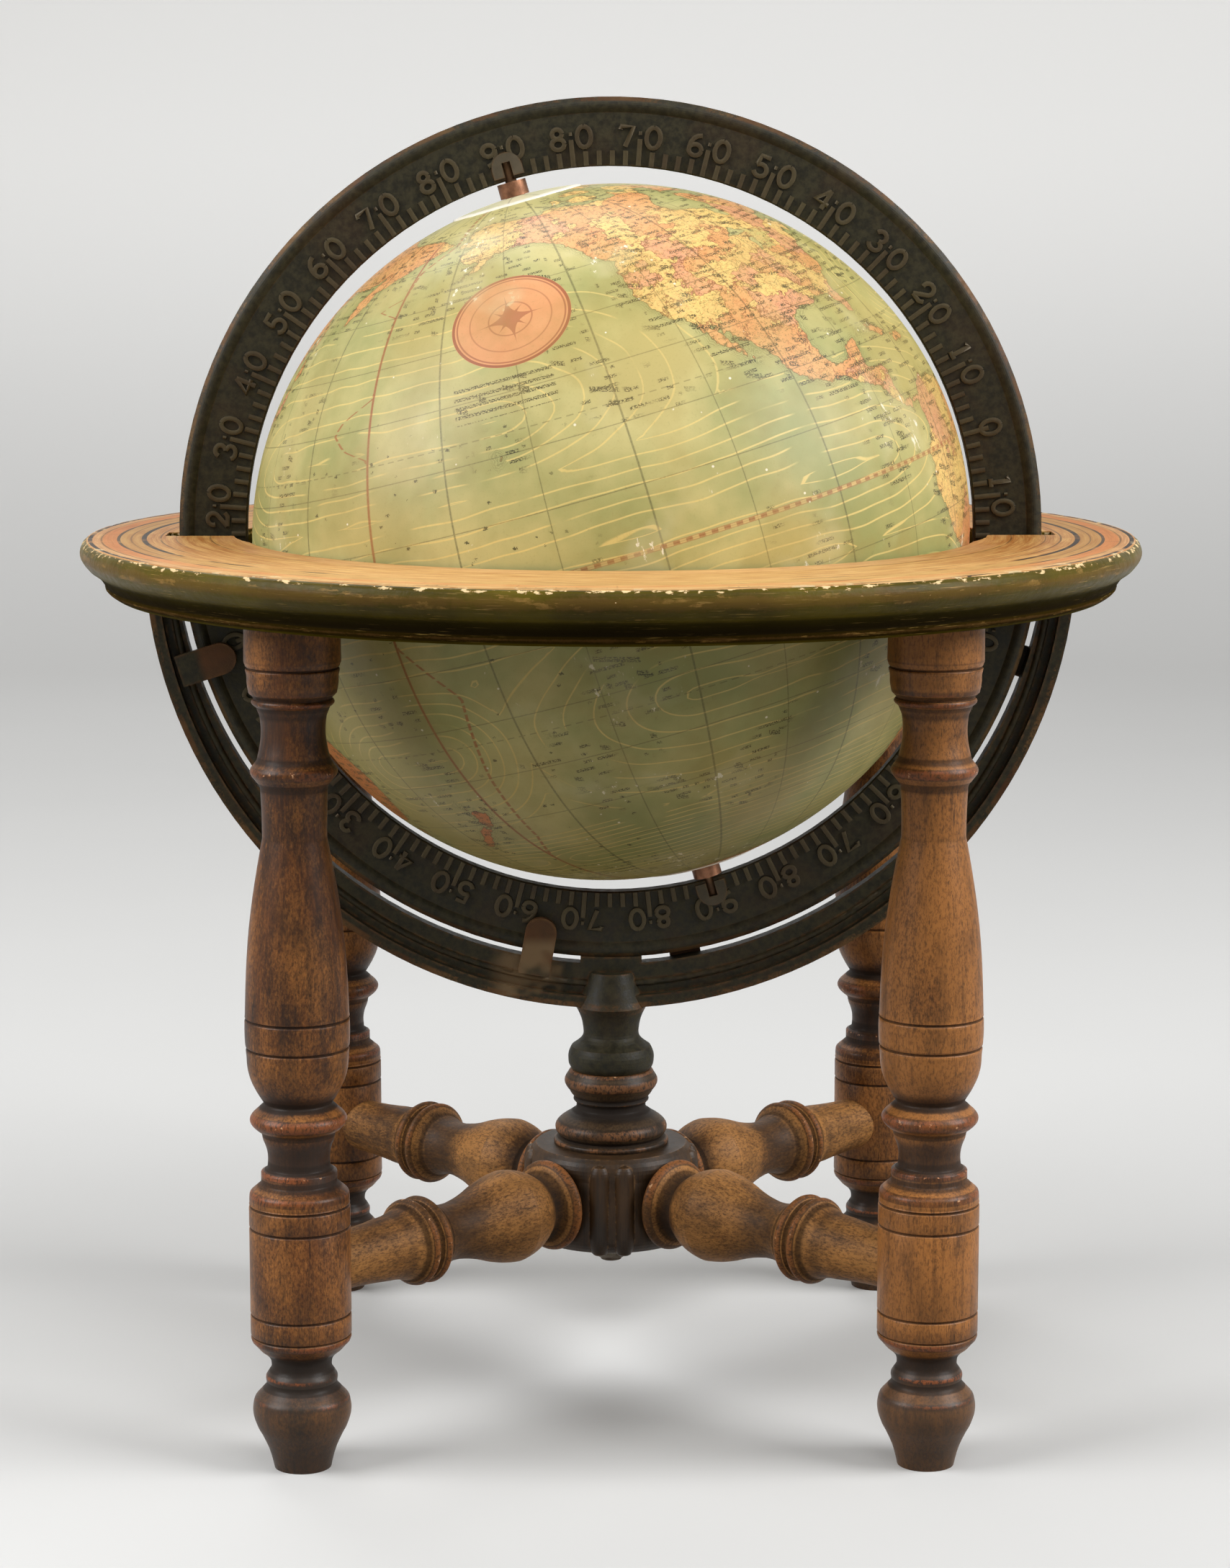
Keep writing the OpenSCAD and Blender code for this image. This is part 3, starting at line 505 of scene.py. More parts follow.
@dataclass(frozen=True)
class PaintedWood(Finish):
    """Olive paint on a moulded wooden ring, chipped to its cream ground along the edges."""

    paint_light: Colour = paint(100, 88, 22)
    paint_deep: Colour = paint(54, 45, 8)
    lower: Colour = paint(46, 33, 9)
    ground: Colour = paint(222, 196, 148)
    bare: Colour = paint(118, 84, 48)

    def looks(self, w: Wiring) -> dict[str, object]:
        """Wires paint that is thin on the rounds, darker in the coves and chipped on the top edge."""
        place, relief = w.layer("place", "Vector"), w.layer("relief")
        mottle = w.use(MOTTLE, {"Vector": place, "Scale": 0.035})
        wear = w.use(WEAR, {"Vector": place, "Relief": relief, "Amount": 0.34})
        top, lip, along = w.layer("top"), w.layer("lip"), w.drawn(place, 0.5)
        chips = w.use(CHIPS, {"Vector": along, "Scale": 0.62, "Amount": 0.16,
                              "Bias": w.sum(w.product(relief, 0.8), w.product(lip, 1.2))})
        scuffs = w.use(CHIPS, {"Vector": w.stretch(along, (1.0, 1.6, 0.6)), "Scale": 0.3, "Amount": 0.34,
                               "Bias": w.product(relief, 1.3)})
        streaks = w.noise(w.drawn(place, 0.06), 0.9, 3.0)
        cloudy = w.sum(w.product(mottle["Broad"], 0.5), w.product(streaks, 0.5))
        cove = w.product(w.step(top, 0.42, 0.24), w.step(top, 0.02, 0.07))
        scratches = w.step(w.noise(w.drawn(place, 0.035), 2.6, 3.0, 0.7), 0.6, 0.7)
        worn = w.step(w.noise(w.drawn(place, 0.4), 0.07, 2.0), 0.46, 0.6)
        colour = w.coats(
            w.mix(cloudy, self.paint_deep, self.paint_light),
            # Darker paint over the cove under the top bead.
            (self.lower, cove, 0.9),
            (paint(172, 142, 80), scratches, worn, 0.9),
            (self.bare, wear["Rubbed"], 0.35),
            (paint(28, 24, 15), wear["Dirt"], 0.7),
            (paint(150, 116, 62), scuffs["Chip"], mottle["Fine"], 0.75),
            (paint(150, 112, 56), chips["Rim"], 0.6),
            (self.ground, chips["Chip"]))
        matte = w.step(top, 0.62, 0.36)
        rough = w.sum(self.roughness, w.product(mottle["Fine"], 0.12), w.product(chips["Chip"], 0.3),
                      w.product(matte, 0.3))
        height = w.sum(w.product(chips["Chip"], -1.6), w.product(mottle["Fine"], 0.5),
                       w.product(w.noise(w.drawn(place, 0.05), 1.2), 0.6))
        sheen = w.product(w.inverse(w.product(matte, 0.95)), self.specular)
        return {"Base Color": colour, "Roughness": rough, "Specular IOR Level": sheen, "Height": height}


@dataclass(frozen=True)
class CastIron(Finish):
    """Old japanned castings: near black, olive in the light, bronze brown where it is rubbed."""

    black: Colour = paint(32, 30, 21)
    olive: Colour = paint(54, 50, 34)
    bronze: Colour = paint(116, 88, 54)
    rust: Colour = paint(88, 54, 32)
    rubbing: float = 0.35
    rusting: float = 0.1
    edge_mm: float = 0.9
    rim_centre_mm: float = CENTRE_Z_MM
    rim_mm: float = 121.2
    guides_mm: float = 0.0
    proud_mm: float = 3.6
    guide_tint: Colour = paint(96, 62, 36)
    # Strength of the painted highlight on the front fillets beside the bottom finger.
    fillet_highlight: float = 0.0

    def looks(self, w: Wiring) -> dict[str, object]:
        """Wires a grainy casting with bronze edges and a little rust."""
        place, relief = w.solid_place(), w.layer("relief")
        mottle = w.use(MOTTLE, {"Vector": place, "Scale": 0.05})
        edge = rounded_edge(w, place, self.edge_mm)
        wear = w.use(WEAR, {"Vector": place, "Relief": relief, "Amount": self.rubbing})
        parts = w.parts(place)
        up = w.minus(parts[2], self.rim_centre_mm)
        radius = w.hypot(parts[0], up)
        rim = self.handled(w, place, radius)
        rubbed = w.either(edge, w.product(wear["Rubbed"], w.step(relief, 0.05, 0.4)), rim)
        rusty = w.step(w.noise(place, 0.045, 3.0), 0.5, 0.66)
        colour = w.coat(w.mix(mottle["Fine"], self.black, self.olive), self.rust, rusty, self.rusting)
        if self.guides_mm:
            # The pale coat is a painted highlight on the front fillets beside the bottom finger.
            guides, fillet_highlight = self.guides(w, place, up, radius)
            colour = w.coats(colour, (self.guide_tint, guides, w.sum(0.3, w.product(mottle["Broad"], 0.6))),
                             (paint(126, 104, 76), fillet_highlight))
        colour = w.coat(colour, w.mix(mottle["Broad"], self.bronze, self.rust), rubbed, 0.62)
        rough = w.sum(self.roughness, w.product(mottle["Fine"], 0.18))
        height = w.sum(w.noise(place, 1.6, 4.0, 0.7), w.product(mottle["Broad"], 0.6))
        return {"Base Color": colour, "Roughness": rough, "Metallic": w.product(rubbed, 0.35),
                "Height": height}

    def handled(self, w: Wiring, place: Socket, radius: Socket) -> Socket:
        """Wires the rim that hands turn and rub, beyond a radius round the globe's centre."""
        broken = w.sum(w.product(w.noise(place, 0.08, 3.0), 0.6),
                       w.product(w.noise(place, 1.4, 3.0, 0.7), 0.4))
        return w.product(w.step(radius, self.rim_mm - 0.7, self.rim_mm), w.step(broken, 0.42, 0.56),
                         w.step(radius, self.rim_mm + 3.4, self.rim_mm + 2.6))

    def guides(self, w: Wiring, place: Socket, up: Socket, radius: Socket) -> tuple[Socket, Socket]:
        """Wires the worn parts that stand proud inside a radius, and a painted highlight on the front
        fillets by the bottom finger.
        """
        parts = w.parts(place)
        proud = w.step(w.abs(parts[1]), self.proud_mm - 0.4, self.proud_mm)
        beside = w.abs(w.sum(parts[0], 22.0))
        spot = w.product(w.step(beside, 15.0, 7.0), w.step(up, -110.0, -114.0), w.step(up, -128.6, -127.6))
        fillet_highlight = w.product(spot, w.step(w.noise(place, 0.09, 2.0), 0.4, 0.6), w.step(parts[1], 0.0, -1.0),
                            self.fillet_highlight)
        return w.product(w.step(radius, self.guides_mm, self.guides_mm - 3.0), proud), fillet_highlight


@dataclass(frozen=True)
class Metal(Finish):
    """Small metal pieces, tarnished in patches."""

    bright: Colour = paint(172, 122, 92)
    dull: Colour = paint(92, 60, 42)

    def looks(self, w: Wiring) -> dict[str, object]:
        """Wires tarnish over the metal and brighter edges."""
        place = w.solid_place()
        mottle = w.use(MOTTLE, {"Vector": place, "Scale": 0.22})
        edge = rounded_edge(w, place, 0.5)
        colour = w.mix(w.sum(w.product(mottle["Broad"], 0.7), w.product(edge, 0.5)), self.dull, self.bright)
        rough = w.sum(self.roughness, w.product(mottle["Fine"], 0.2))
        return {"Base Color": colour, "Roughness": rough, "Height": w.noise(place, 2.5)}


@dataclass(frozen=True)
class PressedBoard(Finish):
    """Grey-white pressed paper and plaster inside the globe."""

    def looks(self, w: Wiring) -> dict[str, object]:
        """Wires fibres and stains."""
        place = w.solid_place()
        mottle = w.use(MOTTLE, {"Vector": place, "Scale": 0.06})
        colour = w.mix(mottle["Broad"], paint(196, 184, 158), paint(224, 216, 196))
        return {"Base Color": colour, "Height": w.sum(mottle["Fine"], w.noise(place, 3.0))}


@dataclass(frozen=True)
class HorizonPrint(Finish):
    """The papered top of the horizon ring: a band of degrees, thin rings and toned, rubbed paper."""

    cream: Colour = paint(208, 164, 98)
    tan: Colour = paint(158, 100, 46)
    orange: Colour = paint(186, 104, 46)
    ochre: Colour = paint(158, 120, 54)
    blush: Colour = paint(206, 158, 112)
    ink: Colour = paint(40, 30, 20)
    rings: tuple[tuple[float, float, float], ...] = (
        (146.4, 0.55, 1.0), (143.3, 0.16, 0.6), (138.5, 0.4, 0.9), (135.0, 0.16, 0.5),
        (131.4, 0.65, 1.0), (126.8, 0.2, 0.65), (122.5, 0.14, 0.5), (113.0, 0.2, 0.6))

    def looks(self, w: Wiring) -> dict[str, object]:
        """Wires the printed rings by distance from the centre, then streaks, stains and losses."""
        place = w.solid_place()
        parts = w.parts(place)
        radius = w.hypot(parts[0], parts[1])
        angle = w.product(w.math("ARCTAN2", parts[1], parts[0]), DEGREES)
        curl = w.vector(radius, w.product(angle, 0.12))
        streaks = w.step(w.noise(curl, 0.5, 5.0, 0.7), 0.36, 0.66)
        thin = w.step(w.noise(w.stretch(curl, (1.0, 0.6, 1.0)), 2.4, 3.0, 0.6), 0.4, 0.7)
        mottle = w.use(MOTTLE, {"Vector": place, "Scale": 0.04})
        fine = w.noise(place, 0.9, 5.0, 0.7)
        colour = w.mix(w.sum(w.product(streaks, 0.6), w.product(thin, 0.4)), self.tan, self.cream)
        for tint, low, high, strength in ((self.orange, 138.6, 143.2, w.sum(0.4, w.product(streaks, 0.4))),
                                          (self.ochre, 131.6, 138.4, w.sum(0.3, w.product(thin, 0.35))),
                                          (self.blush, 143.4, 150.0, w.sum(0.25, w.product(thin, 0.5))),
                                          (self.blush, 100.0, 112.0, w.product(mottle["Broad"], 0.5))):
            band = self.between(w, radius, low, low + 0.6, high - 0.6, high)
            colour = w.coat(colour, tint, band, strength)
        lines = w.either(*(w.product(w.band(w.minus(radius, at), half, 0.12), strength)
                           for at, half, strength in self.rings))
        span = w.product(radius, 1 / DEGREES)
        degrees = w.product(w.step(w.product(w.near_multiple(angle, 1.0), span), 0.2, 0.1),
                            self.between(w, radius, 143.2, 143.5, 145.2, 145.4), 0.7)
        tens = w.product(w.step(w.product(w.near_multiple(angle, 10.0), span), 0.26, 0.14),
                         self.between(w, radius, 138.5, 138.8, 146.3, 146.5), 0.7)
        # Lighter paper and fainter ink towards the front of the ring, set by position alone.
        rubbed = w.step(parts[1], -40.0, -125.0)
        faded = w.step(w.sum(w.noise(place, 0.05, 3.0), w.product(rubbed, 0.22)), 0.74, 0.5)
        loss = w.use(CHIPS, {"Vector": place, "Scale": 0.14, "Amount": 0.22,
                             "Bias": w.product(w.step(radius, 141.0, 147.6), 0.9)})
        colour = w.coats(
            colour,
            (paint(226, 190, 130), rubbed, w.sum(0.15, w.product(thin, 0.6))),
            (self.ink, w.either(lines, degrees, tens), faded),
            (paint(150, 98, 58), w.step(fine, 0.55, 0.75), 0.4),
            (paint(236, 216, 176), loss["Rim"], 0.5),
            (paint(206, 184, 140), loss["Chip"]))
        rough = w.sum(self.roughness, w.product(loss["Chip"], 0.25))
        height = w.sum(w.product(fine, 0.6), w.product(loss["Chip"], -1.0), w.product(streaks, 0.3))
        return {"Base Color": colour, "Roughness": rough, "Height": height}

    @staticmethod
    def between(w: Wiring, radius: Socket, start: float, full: float, fall: float, end: float) -> Socket:
        """A ring that is full between two radii and fades out at both, as a mask."""
        return w.product(w.step(radius, start, full), w.step(radius, end, fall))


@dataclass(frozen=True)
class Cartouche:
    """The oval vignette in the north Pacific, which holds a plain compass star."""

    lon: float = -149.8
    lat: float = 43.3
    half_width: float = 16.8
    half_height: float = 16.2
    turned_deg: float = 6.0

    def axes(self) -> tuple[Vector, Vector, Vector]:
        """The direction of its middle from the globe's centre, and those of its width and height."""
        lon, lat, turn = (math.radians(v) for v in (self.lon, self.lat, self.turned_deg))
        out = Vector((math.cos(lat) * math.cos(lon), math.cos(lat) * math.sin(lon), math.sin(lat)))
        east = Vector((-math.sin(lon), math.cos(lon), 0.0))
        north = out.cross(east)
        cos, sin = math.cos(turn), math.sin(turn)
        return (out, east * cos + north * sin, north * cos - east * sin)


@dataclass(frozen=True)
class MapPrint(Finish):
    """A printed and varnished map: seas, tinted lands, graticule, currents, equator and date line."""

    sea_green: Colour = paint(150, 152, 92)
    sea_cream: Colour = paint(200, 188, 126)
    sea_yellow: Colour = paint(190, 172, 96)
    land_yellow: Colour = paint(230, 200, 120)
    land_rose: Colour = paint(218, 156, 120)
    land_orange: Colour = paint(218, 154, 98)
    land_green: Colour = paint(192, 184, 112)
    ink: Colour = paint(54, 50, 28)
    red_ink: Colour = paint(160, 78, 42)
    current: Colour = paint(226, 202, 126)
    cartouche: Cartouche = Cartouche()
    star_waist: float = 0.42
    borders: tuple[tuple[float, float, float, float], ...] = (
        (0.965, 0.018, 0.012, 1.0), (0.9, 0.008, 0.012, 0.8), (0.36, 0.006, 0.014, 0.6),
        (0.68, 0.005, 0.014, 0.5))

    def looks(self, w: Wiring) -> dict[str, object]:
        """Wires the sheet from the sea up: sea, land, lines, cartouche, then age."""
        geo = w.add("VectorMath", {0: w.layer("geo", "Vector")}, operation="NORMALIZE").outputs[0]
        place = w.stretch(geo, (EQUATOR_MM,) * 3)
        parts = w.parts(geo)
        lat = w.product(w.math("ARCSINE", parts[2]), DEGREES)
        lon = w.product(w.math("ARCTAN2", parts[1], parts[0]), DEGREES)
        narrowing = w.math("SQRT", w.inverse(w.product(parts[2], parts[2])))
        rough_edge = w.product(w.minus(w.noise(place, 0.42, 4.0, 0.6), 0.5), 3.0)
        fine = w.noise(place, 1.5, 4.0, 0.7)
        shore = w.sum(w.layer("land"), w.product(rough_edge, 0.62))
        land = w.step(shore, -0.05, 0.07)
        colour = w.coats(self.sea(w, place, shore),
                         (self.land(w, place, rough_edge, fine), land),
                         (paint(96, 84, 44), w.band(shore, 0.05, 0.13), 0.6),
                         (self.ink, self.graticule(w, lat, lon, narrowing, fine)))
        colour = self.great_lines(w, colour, lat, lon, narrowing, fine)
        colour = w.coat(colour, self.ink, self.small_marks(w, place, lat, lon, shore))
        colour = self.vignette(w, colour, geo)
        return self.age(w, colour, place, fine)

    def sea(self, w: Wiring, place: Socket, shore: Socket) -> Socket:
        """Wires the sea, its currents and the shading along its shores."""
        mottle = w.use(MOTTLE, {"Vector": place, "Scale": 0.022})
        yellowed = w.step(w.noise(place, 0.014, 2.0), 0.45, 0.65)
        stream = w.sum(w.layer("flow"), w.product(w.noise(place, 0.022, 2.0), 0.34))
        away = w.math("DIVIDE", w.near_multiple(stream, 0.18), w.layer("steep"))
        held = w.product(w.step(w.noise(place, 0.04, 2.0), 0.36, 0.44), w.step(stream, 1.5, 1.42),
                         w.step(shore, -0.6, -1.0))
        ruled = w.step(w.near_multiple(shore, 0.36), 0.04, 0.12)
        return w.coats(w.mix(mottle["Broad"], self.sea_green, self.sea_cream),
                       (self.sea_yellow, yellowed, 0.45),
                       (self.current, w.step(away, 0.19, 0.07), held, 0.8),
                       (paint(104, 104, 58), w.step(shore, -1.7, -0.3), w.inverse(ruled), 0.45))

    def land(self, w: Wiring, place: Socket, rough_edge: Socket, fine: Socket) -> Socket:
        """Wires the tinted countries, their borders and the engraving inside them."""
        colour: object = self.land_yellow
        borders: Value = 0.0
        wander = w.product(w.minus(w.noise(place, 0.2, 3.0, 0.65), 0.5), 8.0)
        for name, tint in (("orange", self.land_orange), ("rose", self.land_rose),
                           ("green", self.land_green), ("division", None)):
            side = w.sum(w.layer(name), w.product(rough_edge, 0.4), wander)
            if tint:
                colour = w.coat(colour, tint, w.step(side, -0.12, 0.12))
            borders = w.either(borders, w.band(side, 0.05, 0.13))
        blotches = w.use(MOTTLE, {"Vector": place, "Scale": 0.11})
        south = w.step(w.along(place, (0.0, 0.0, 1.0)), EQUATOR_MM * -0.16, EQUATOR_MM * -0.3)
        hills = w.step(w.noise(w.drawn(place, 1.5), 0.75, 5.0, 0.75), 0.54, 0.64)
        green = w.step(w.noise(place, 1.1, 3.0, 0.7), 0.57, 0.64)
        rivers = w.band(w.minus(w.noise(place, 0.17, 4.0, 0.7), 0.5), 0.003, 0.008)
        return w.coats(
            colour,
            (paint(232, 190, 126), blotches["Broad"], 0.5),
            (paint(214, 158, 92), blotches["Fine"], 0.42),
            (paint(214, 120, 60), south, 0.6),
            (paint(172, 98, 52), hills, 0.55),
            (paint(112, 96, 44), green, 0.6),
            (paint(92, 80, 42), rivers, 0.6),
            (paint(118, 64, 36), borders, w.sum(0.3, w.product(fine, 0.8))))

    def small_marks(self, w: Wiring, place: Socket, lat: Socket, lon: Socket, shore: Socket) -> Socket:
        """Wires rows of tiny strokes, as small print looks from a step away, thicker near shores."""
        rows: Value = 0.0
        east = w.abs(w.sum(lon, 3.2 - self.cartouche.lon))
        north = w.abs(w.sum(lat, 13.8 - self.cartouche.lat))
        note = w.product(w.step(east, 9.4, 9.0), w.step(north, 3.2, 3.0))
        for pitch, slope, share, filled in ((1.5, 0.0, 0.53, 1.0), (2.3, 0.3, 0.6, 0.0)):
            up = w.sum(lat, w.product(lon, slope))
            row = w.math("FLOOR", w.math("DIVIDE", up, pitch))
            inside = w.step(w.abs(w.minus(w.math("DIVIDE", up, pitch), w.sum(row, 0.5))), 0.22, 0.17)
            spot = w.vector(lon, w.product(row, 7.31), slope)
            words = w.step(w.noise(spot, 0.24, 1.0), share, share + 0.02)
            strokes = w.step(w.noise(w.vector(lon, w.product(up, 1.6)), 3.2, 2.0), 0.46, 0.52)
            rows = w.either(rows, w.product(inside, w.either(words, w.product(note, filled)), strokes))
        crowd = w.either(note, w.step(w.noise(place, 0.032, 2.0), 0.54, 0.6), w.step(shore, -5.0, -2.0))
        west = w.step(w.abs(w.minus(180.0, w.abs(lon))), 42.0, 24.0)
        south = w.step(lat, 38.0, 22.0)
        ragged = w.sum(w.cells(w.drawn(place, 1.4), 0.16), w.product(w.noise(place, 2.2, 2.0, 0.7), 0.34))
        islands = w.product(w.step(ragged, 0.27, 0.24), w.product(west, south), w.step(shore, -0.5, -1.5))
        return w.either(w.product(rows, crowd, 0.92), w.product(islands, 0.85))

    def graticule(self, w: Wiring, lat: Socket, lon: Socket, narrowing: Socket, fine: Socket) -> Socket:
        """Wires the net of parallels and meridians and the seams between the gores."""
        meridians = w.product(w.near_multiple(lon, 15.0), narrowing)
        seams = w.product(w.near_multiple(lon, 30.0, 15.0), narrowing)
        parallels = w.near_multiple(lat, 10.0)
        uneven = w.sum(0.1, w.product(fine, 0.75))
        net = w.product(w.either(w.step(meridians, 0.14, 0.04), w.step(parallels, 0.13, 0.04)), uneven)
        tropics = w.product(w.step(w.abs(w.minus(w.abs(lat), 23.45)), 0.14, 0.05),
                            w.step(w.near_multiple(lon, 2.0), 0.35, 0.45), 0.4)
        joints = w.product(w.step(seams, 0.22, 0.08), w.sum(0.1, w.product(fine, 0.8)))
        return w.either(w.product(net, 0.9), joints, tropics)

    def great_lines(self, w: Wiring, colour: Socket, lat: Socket, lon: Socket, narrowing: Socket,
                    fine: Socket) -> Socket:
        """Wires the barred equator and the dashed date line."""
        bars = w.step(w.near_multiple(lon, 2.0), 0.44, 0.54)
        barred = w.mix(w.product(bars, 0.9), paint(214, 176, 112), self.red_ink)
        rails = w.band(w.minus(w.abs(lat), 0.34), 0.03, 0.08)
        half_turn = w.product(w.minus(180.0, w.abs(lon)), narrowing)
        straight = w.product(w.step(half_turn, 0.34, 0.14), w.step(w.abs(lat), 68.0, 66.0))
        bent = w.product(w.step(w.abs(w.layer("bend")), 0.34, 0.16),
                         w.step(w.near_multiple(lat, 1.6), 0.16, 0.24))
        return w.coats(colour, (barred, w.band(lat, 0.24, 0.1), w.sum(0.25, w.product(fine, 0.7))),
                       (self.red_ink, rails, w.product(fine, 0.8)),
                       (self.red_ink, w.either(straight, bent), w.sum(0.35, w.product(fine, 0.7))))

    def vignette(self, w: Wiring, colour: Socket, geo: Socket) -> Socket:
        """Wires the oval with its double border and a plain compass star in it."""
        out, wide, high = self.cartouche.axes()
        x = w.product(w.along(geo, wide), EQUATOR_MM / self.cartouche.half_width)
        y = w.product(w.along(geo, high), EQUATOR_MM / self.cartouche.half_height)
        reach = w.hypot(x, y)
        facing = w.step(w.along(geo, out), 0.5, 0.52)
        peach = w.mix(w.noise(geo, 14.0, 4.0), paint(222, 164, 114), paint(210, 142, 92))
        colour = w.coat(colour, peach, w.step(reach, 1.0, 0.985), facing)
        star: Value = 0.0
        for turn, size in ((0.0, 0.6), (math.pi / 4, 0.4)):
            across = w.abs(w.sum(w.product(x, math.cos(turn)), w.product(y, math.sin(turn))))
            up = w.abs(w.sum(w.product(y, math.cos(turn)), w.product(x, -math.sin(turn))))
            spread = w.sum(w.math("POWER", across, self.star_waist), w.math("POWER", up, self.star_waist))
            reached = size ** self.star_waist
            star = w.either(star, w.step(spread, reached + 0.03, reached))
        rings = w.either(*(w.product(w.band(w.minus(reach, at), half, soft), strength)
                           for at, half, soft, strength in self.borders))
        return w.coat(colour, paint(160, 94, 62), w.either(rings, w.product(star, 0.7)), facing)

    def age(self, w: Wiring, colour: Socket, place: Socket, fine: Socket) -> dict[str, object]:
        """Wires the toned varnish, rubbed spots and small white losses."""
        toned = w.step(w.noise(place, 0.028, 4.0, 0.65), 0.42, 0.62)
        pale = w.step(w.noise(place, 0.035, 3.0), 0.56, 0.7)
        knocked = w.product(w.step(w.noise(place, 0.035, 2.0), 0.52, 0.66), 0.66)
        loss = w.use(CHIPS, {"Vector": w.drawn(place, 0.4), "Scale": 0.42, "Amount": 0.26, "Bias": knocked})
        dots = w.product(w.step(w.cells(place, 0.16), 0.07, 0.045), w.step(w.noise(place, 0.1), 0.5, 0.56))
        whole = w.step(w.along(place, self.cartouche.axes()[0]), EQUATOR_MM * 0.992, EQUATOR_MM * 0.985)
        chip = w.product(w.either(loss["Chip"], dots), whole)
        colour = w.coats(
            colour,
            (paint(150, 126, 62), toned, 0.28),
            (paint(140, 126, 70), w.step(fine, 0.52, 0.8), 0.3),
            (paint(226, 218, 176), pale, 0.22),
            (paint(214, 204, 160), loss["Rim"], 0.35),
            (paint(236, 228, 200), chip))
        rough = w.sum(self.roughness, w.product(fine, 0.16), w.product(chip, 0.3))
        height = w.sum(w.product(fine, 0.5), w.product(chip, -1.2))
        return {"Base Color": colour, "Roughness": rough, "Height": height}


@dataclass
class Skin:
    """A mesh in the making: corners in millimetres, faces, and values for each corner."""

    name: str
    corners: np.ndarray
    faces: list[Sequence[int]]
    layers: dict[str, np.ndarray] = field(default_factory=dict)

    def build(self, finish: Finish, sharp_deg: float = 42.0) -> bpy.types.Object:
        """Makes the object.

        Args:
            finish: What it is finished in.
            sharp_deg: Edges that turn by more than this stay crisp.

        Returns:
            The new object, in the row frame.
        """
        mesh = bpy.data.meshes.new(self.name)
        mesh.from_pydata((self.corners * MM).tolist(), [], [list(face) for face in self.faces])
        mesh.polygons.foreach_set("use_smooth", np.ones(len(mesh.polygons), bool))
        mesh.set_sharp_from_angle(angle=math.radians(sharp_deg))
        for name, values in self.layers.items():
            flat = values.ndim == 1
            layer = mesh.attributes.new(name, "FLOAT" if flat else "FLOAT_VECTOR", "POINT")
            layer.data.foreach_set("value" if flat else "vector", values.astype(np.float32).ravel())
        mesh.materials.append(finish.make())
        mesh.update()
        return put(self.name, mesh)


def quilt(rows: int, columns: int, closed: bool = False) -> list[Sequence[int]]:
    """Quads over a grid of corners numbered row by row, in which the end of each row joins its start.

    Args:
        rows: Number of rows.
        columns: Number of corners in a row.
        closed: Whether the last row joins the first.

    Returns:
        Four corner numbers for each quad.
    """
    row = np.arange(rows if closed else rows - 1)[:, None] * columns
    column = np.arange(columns)[None, :]
    up, along = (row + columns) % (rows * columns), (column + 1) % columns
    return np.stack([row + column, row + along, up + along, up + column], -1).reshape(-1, 4).tolist()


def relief_of(outline: np.ndarray, reach: float) -> np.ndarray:
    """How far each point of an outline stands out of its surroundings, as a share of reach.

    Args:
        outline: Points as rows, with the open side on the right of the way they run.
        reach: How far along the outline the surroundings go, in millimetres.

    Returns:
        A value for each point, above 0 on a ridge and below 0 in a hollow.
    """
    steps = np.linalg.norm(np.diff(outline, axis=0), axis=1)
    run = np.concatenate([[0.0], np.cumsum(steps)])
    ahead, behind = (np.stack([np.interp(np.clip(run + sign * reach, 0, run[-1]), run, outline[:, i])
                               for i in (0, 1)], 1) for sign in (1, -1))
    way = ahead - behind
    out = np.stack([way[:, 1], -way[:, 0]], 1) / np.maximum(np.linalg.norm(way, axis=1), 1e-6)[:, None]
    return ((outline - (ahead + behind) / 2) * out).sum(1) / reach


def smoothed(outline: np.ndarray, corner_deg: float = 42.0, round_mm: float = 0.16) -> np.ndarray:
    """Rounds an outline: curves run smoothly through its points, and corners get a tiny chamfer.

    Args:
        outline: Points as rows.
        corner_deg: A turn above this is a corner.
        round_mm: How far the chamfer of a corner reaches.

    Returns:
        More points, as rows.
    """
    ways = np.diff(outline, axis=0)
    lengths = np.linalg.norm(ways, axis=1)
    units = ways / lengths[:, None]
    turns = np.degrees(np.arccos(np.clip((units[1:] * units[:-1]).sum(1), -1, 1)))
    corner = np.concatenate([[True], turns > corner_deg, [True]])
    made = [outline[0]]
    for i in range(len(ways)):
        a, b = outline[i], outline[i + 1]
        before = a - ways[i] if corner[i] else outline[i - 1]
        after = b + ways[i] if corner[i + 1] else outline[i + 2]
        start = min(round_mm / lengths[i], 0.3) if corner[i] and i else 0.0
        end = 1 - min(round_mm / lengths[i], 0.3) if corner[i + 1] and i < len(ways) - 1 else 1.0
        count = 1 if corner[i] and corner[i + 1] else max(1, min(3, math.ceil(lengths[i] / 0.8)))
        for t in np.linspace(start, end, count + 1)[0 if start else 1:]:
            if corner[i] and corner[i + 1]:
                made.append(a + (b - a) * t)
                continue
            bent = (2 * before - 5 * a + 4 * b - after) * t * t + (3 * a - before - 3 * b + after) * t ** 3
            made.append(0.5 * (2 * a + (b - before) * t + bent))
    return np.array(made)


def cad_corners(node: str) -> np.ndarray:
    """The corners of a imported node's mesh, in millimetres."""
    mesh = FRAME["nodes"][node].data
    flat = np.zeros(len(mesh.vertices) * 3, np.float32)
    mesh.vertices.foreach_get("co", flat)
    return flat.reshape(-1, 3).astype(float) / MM


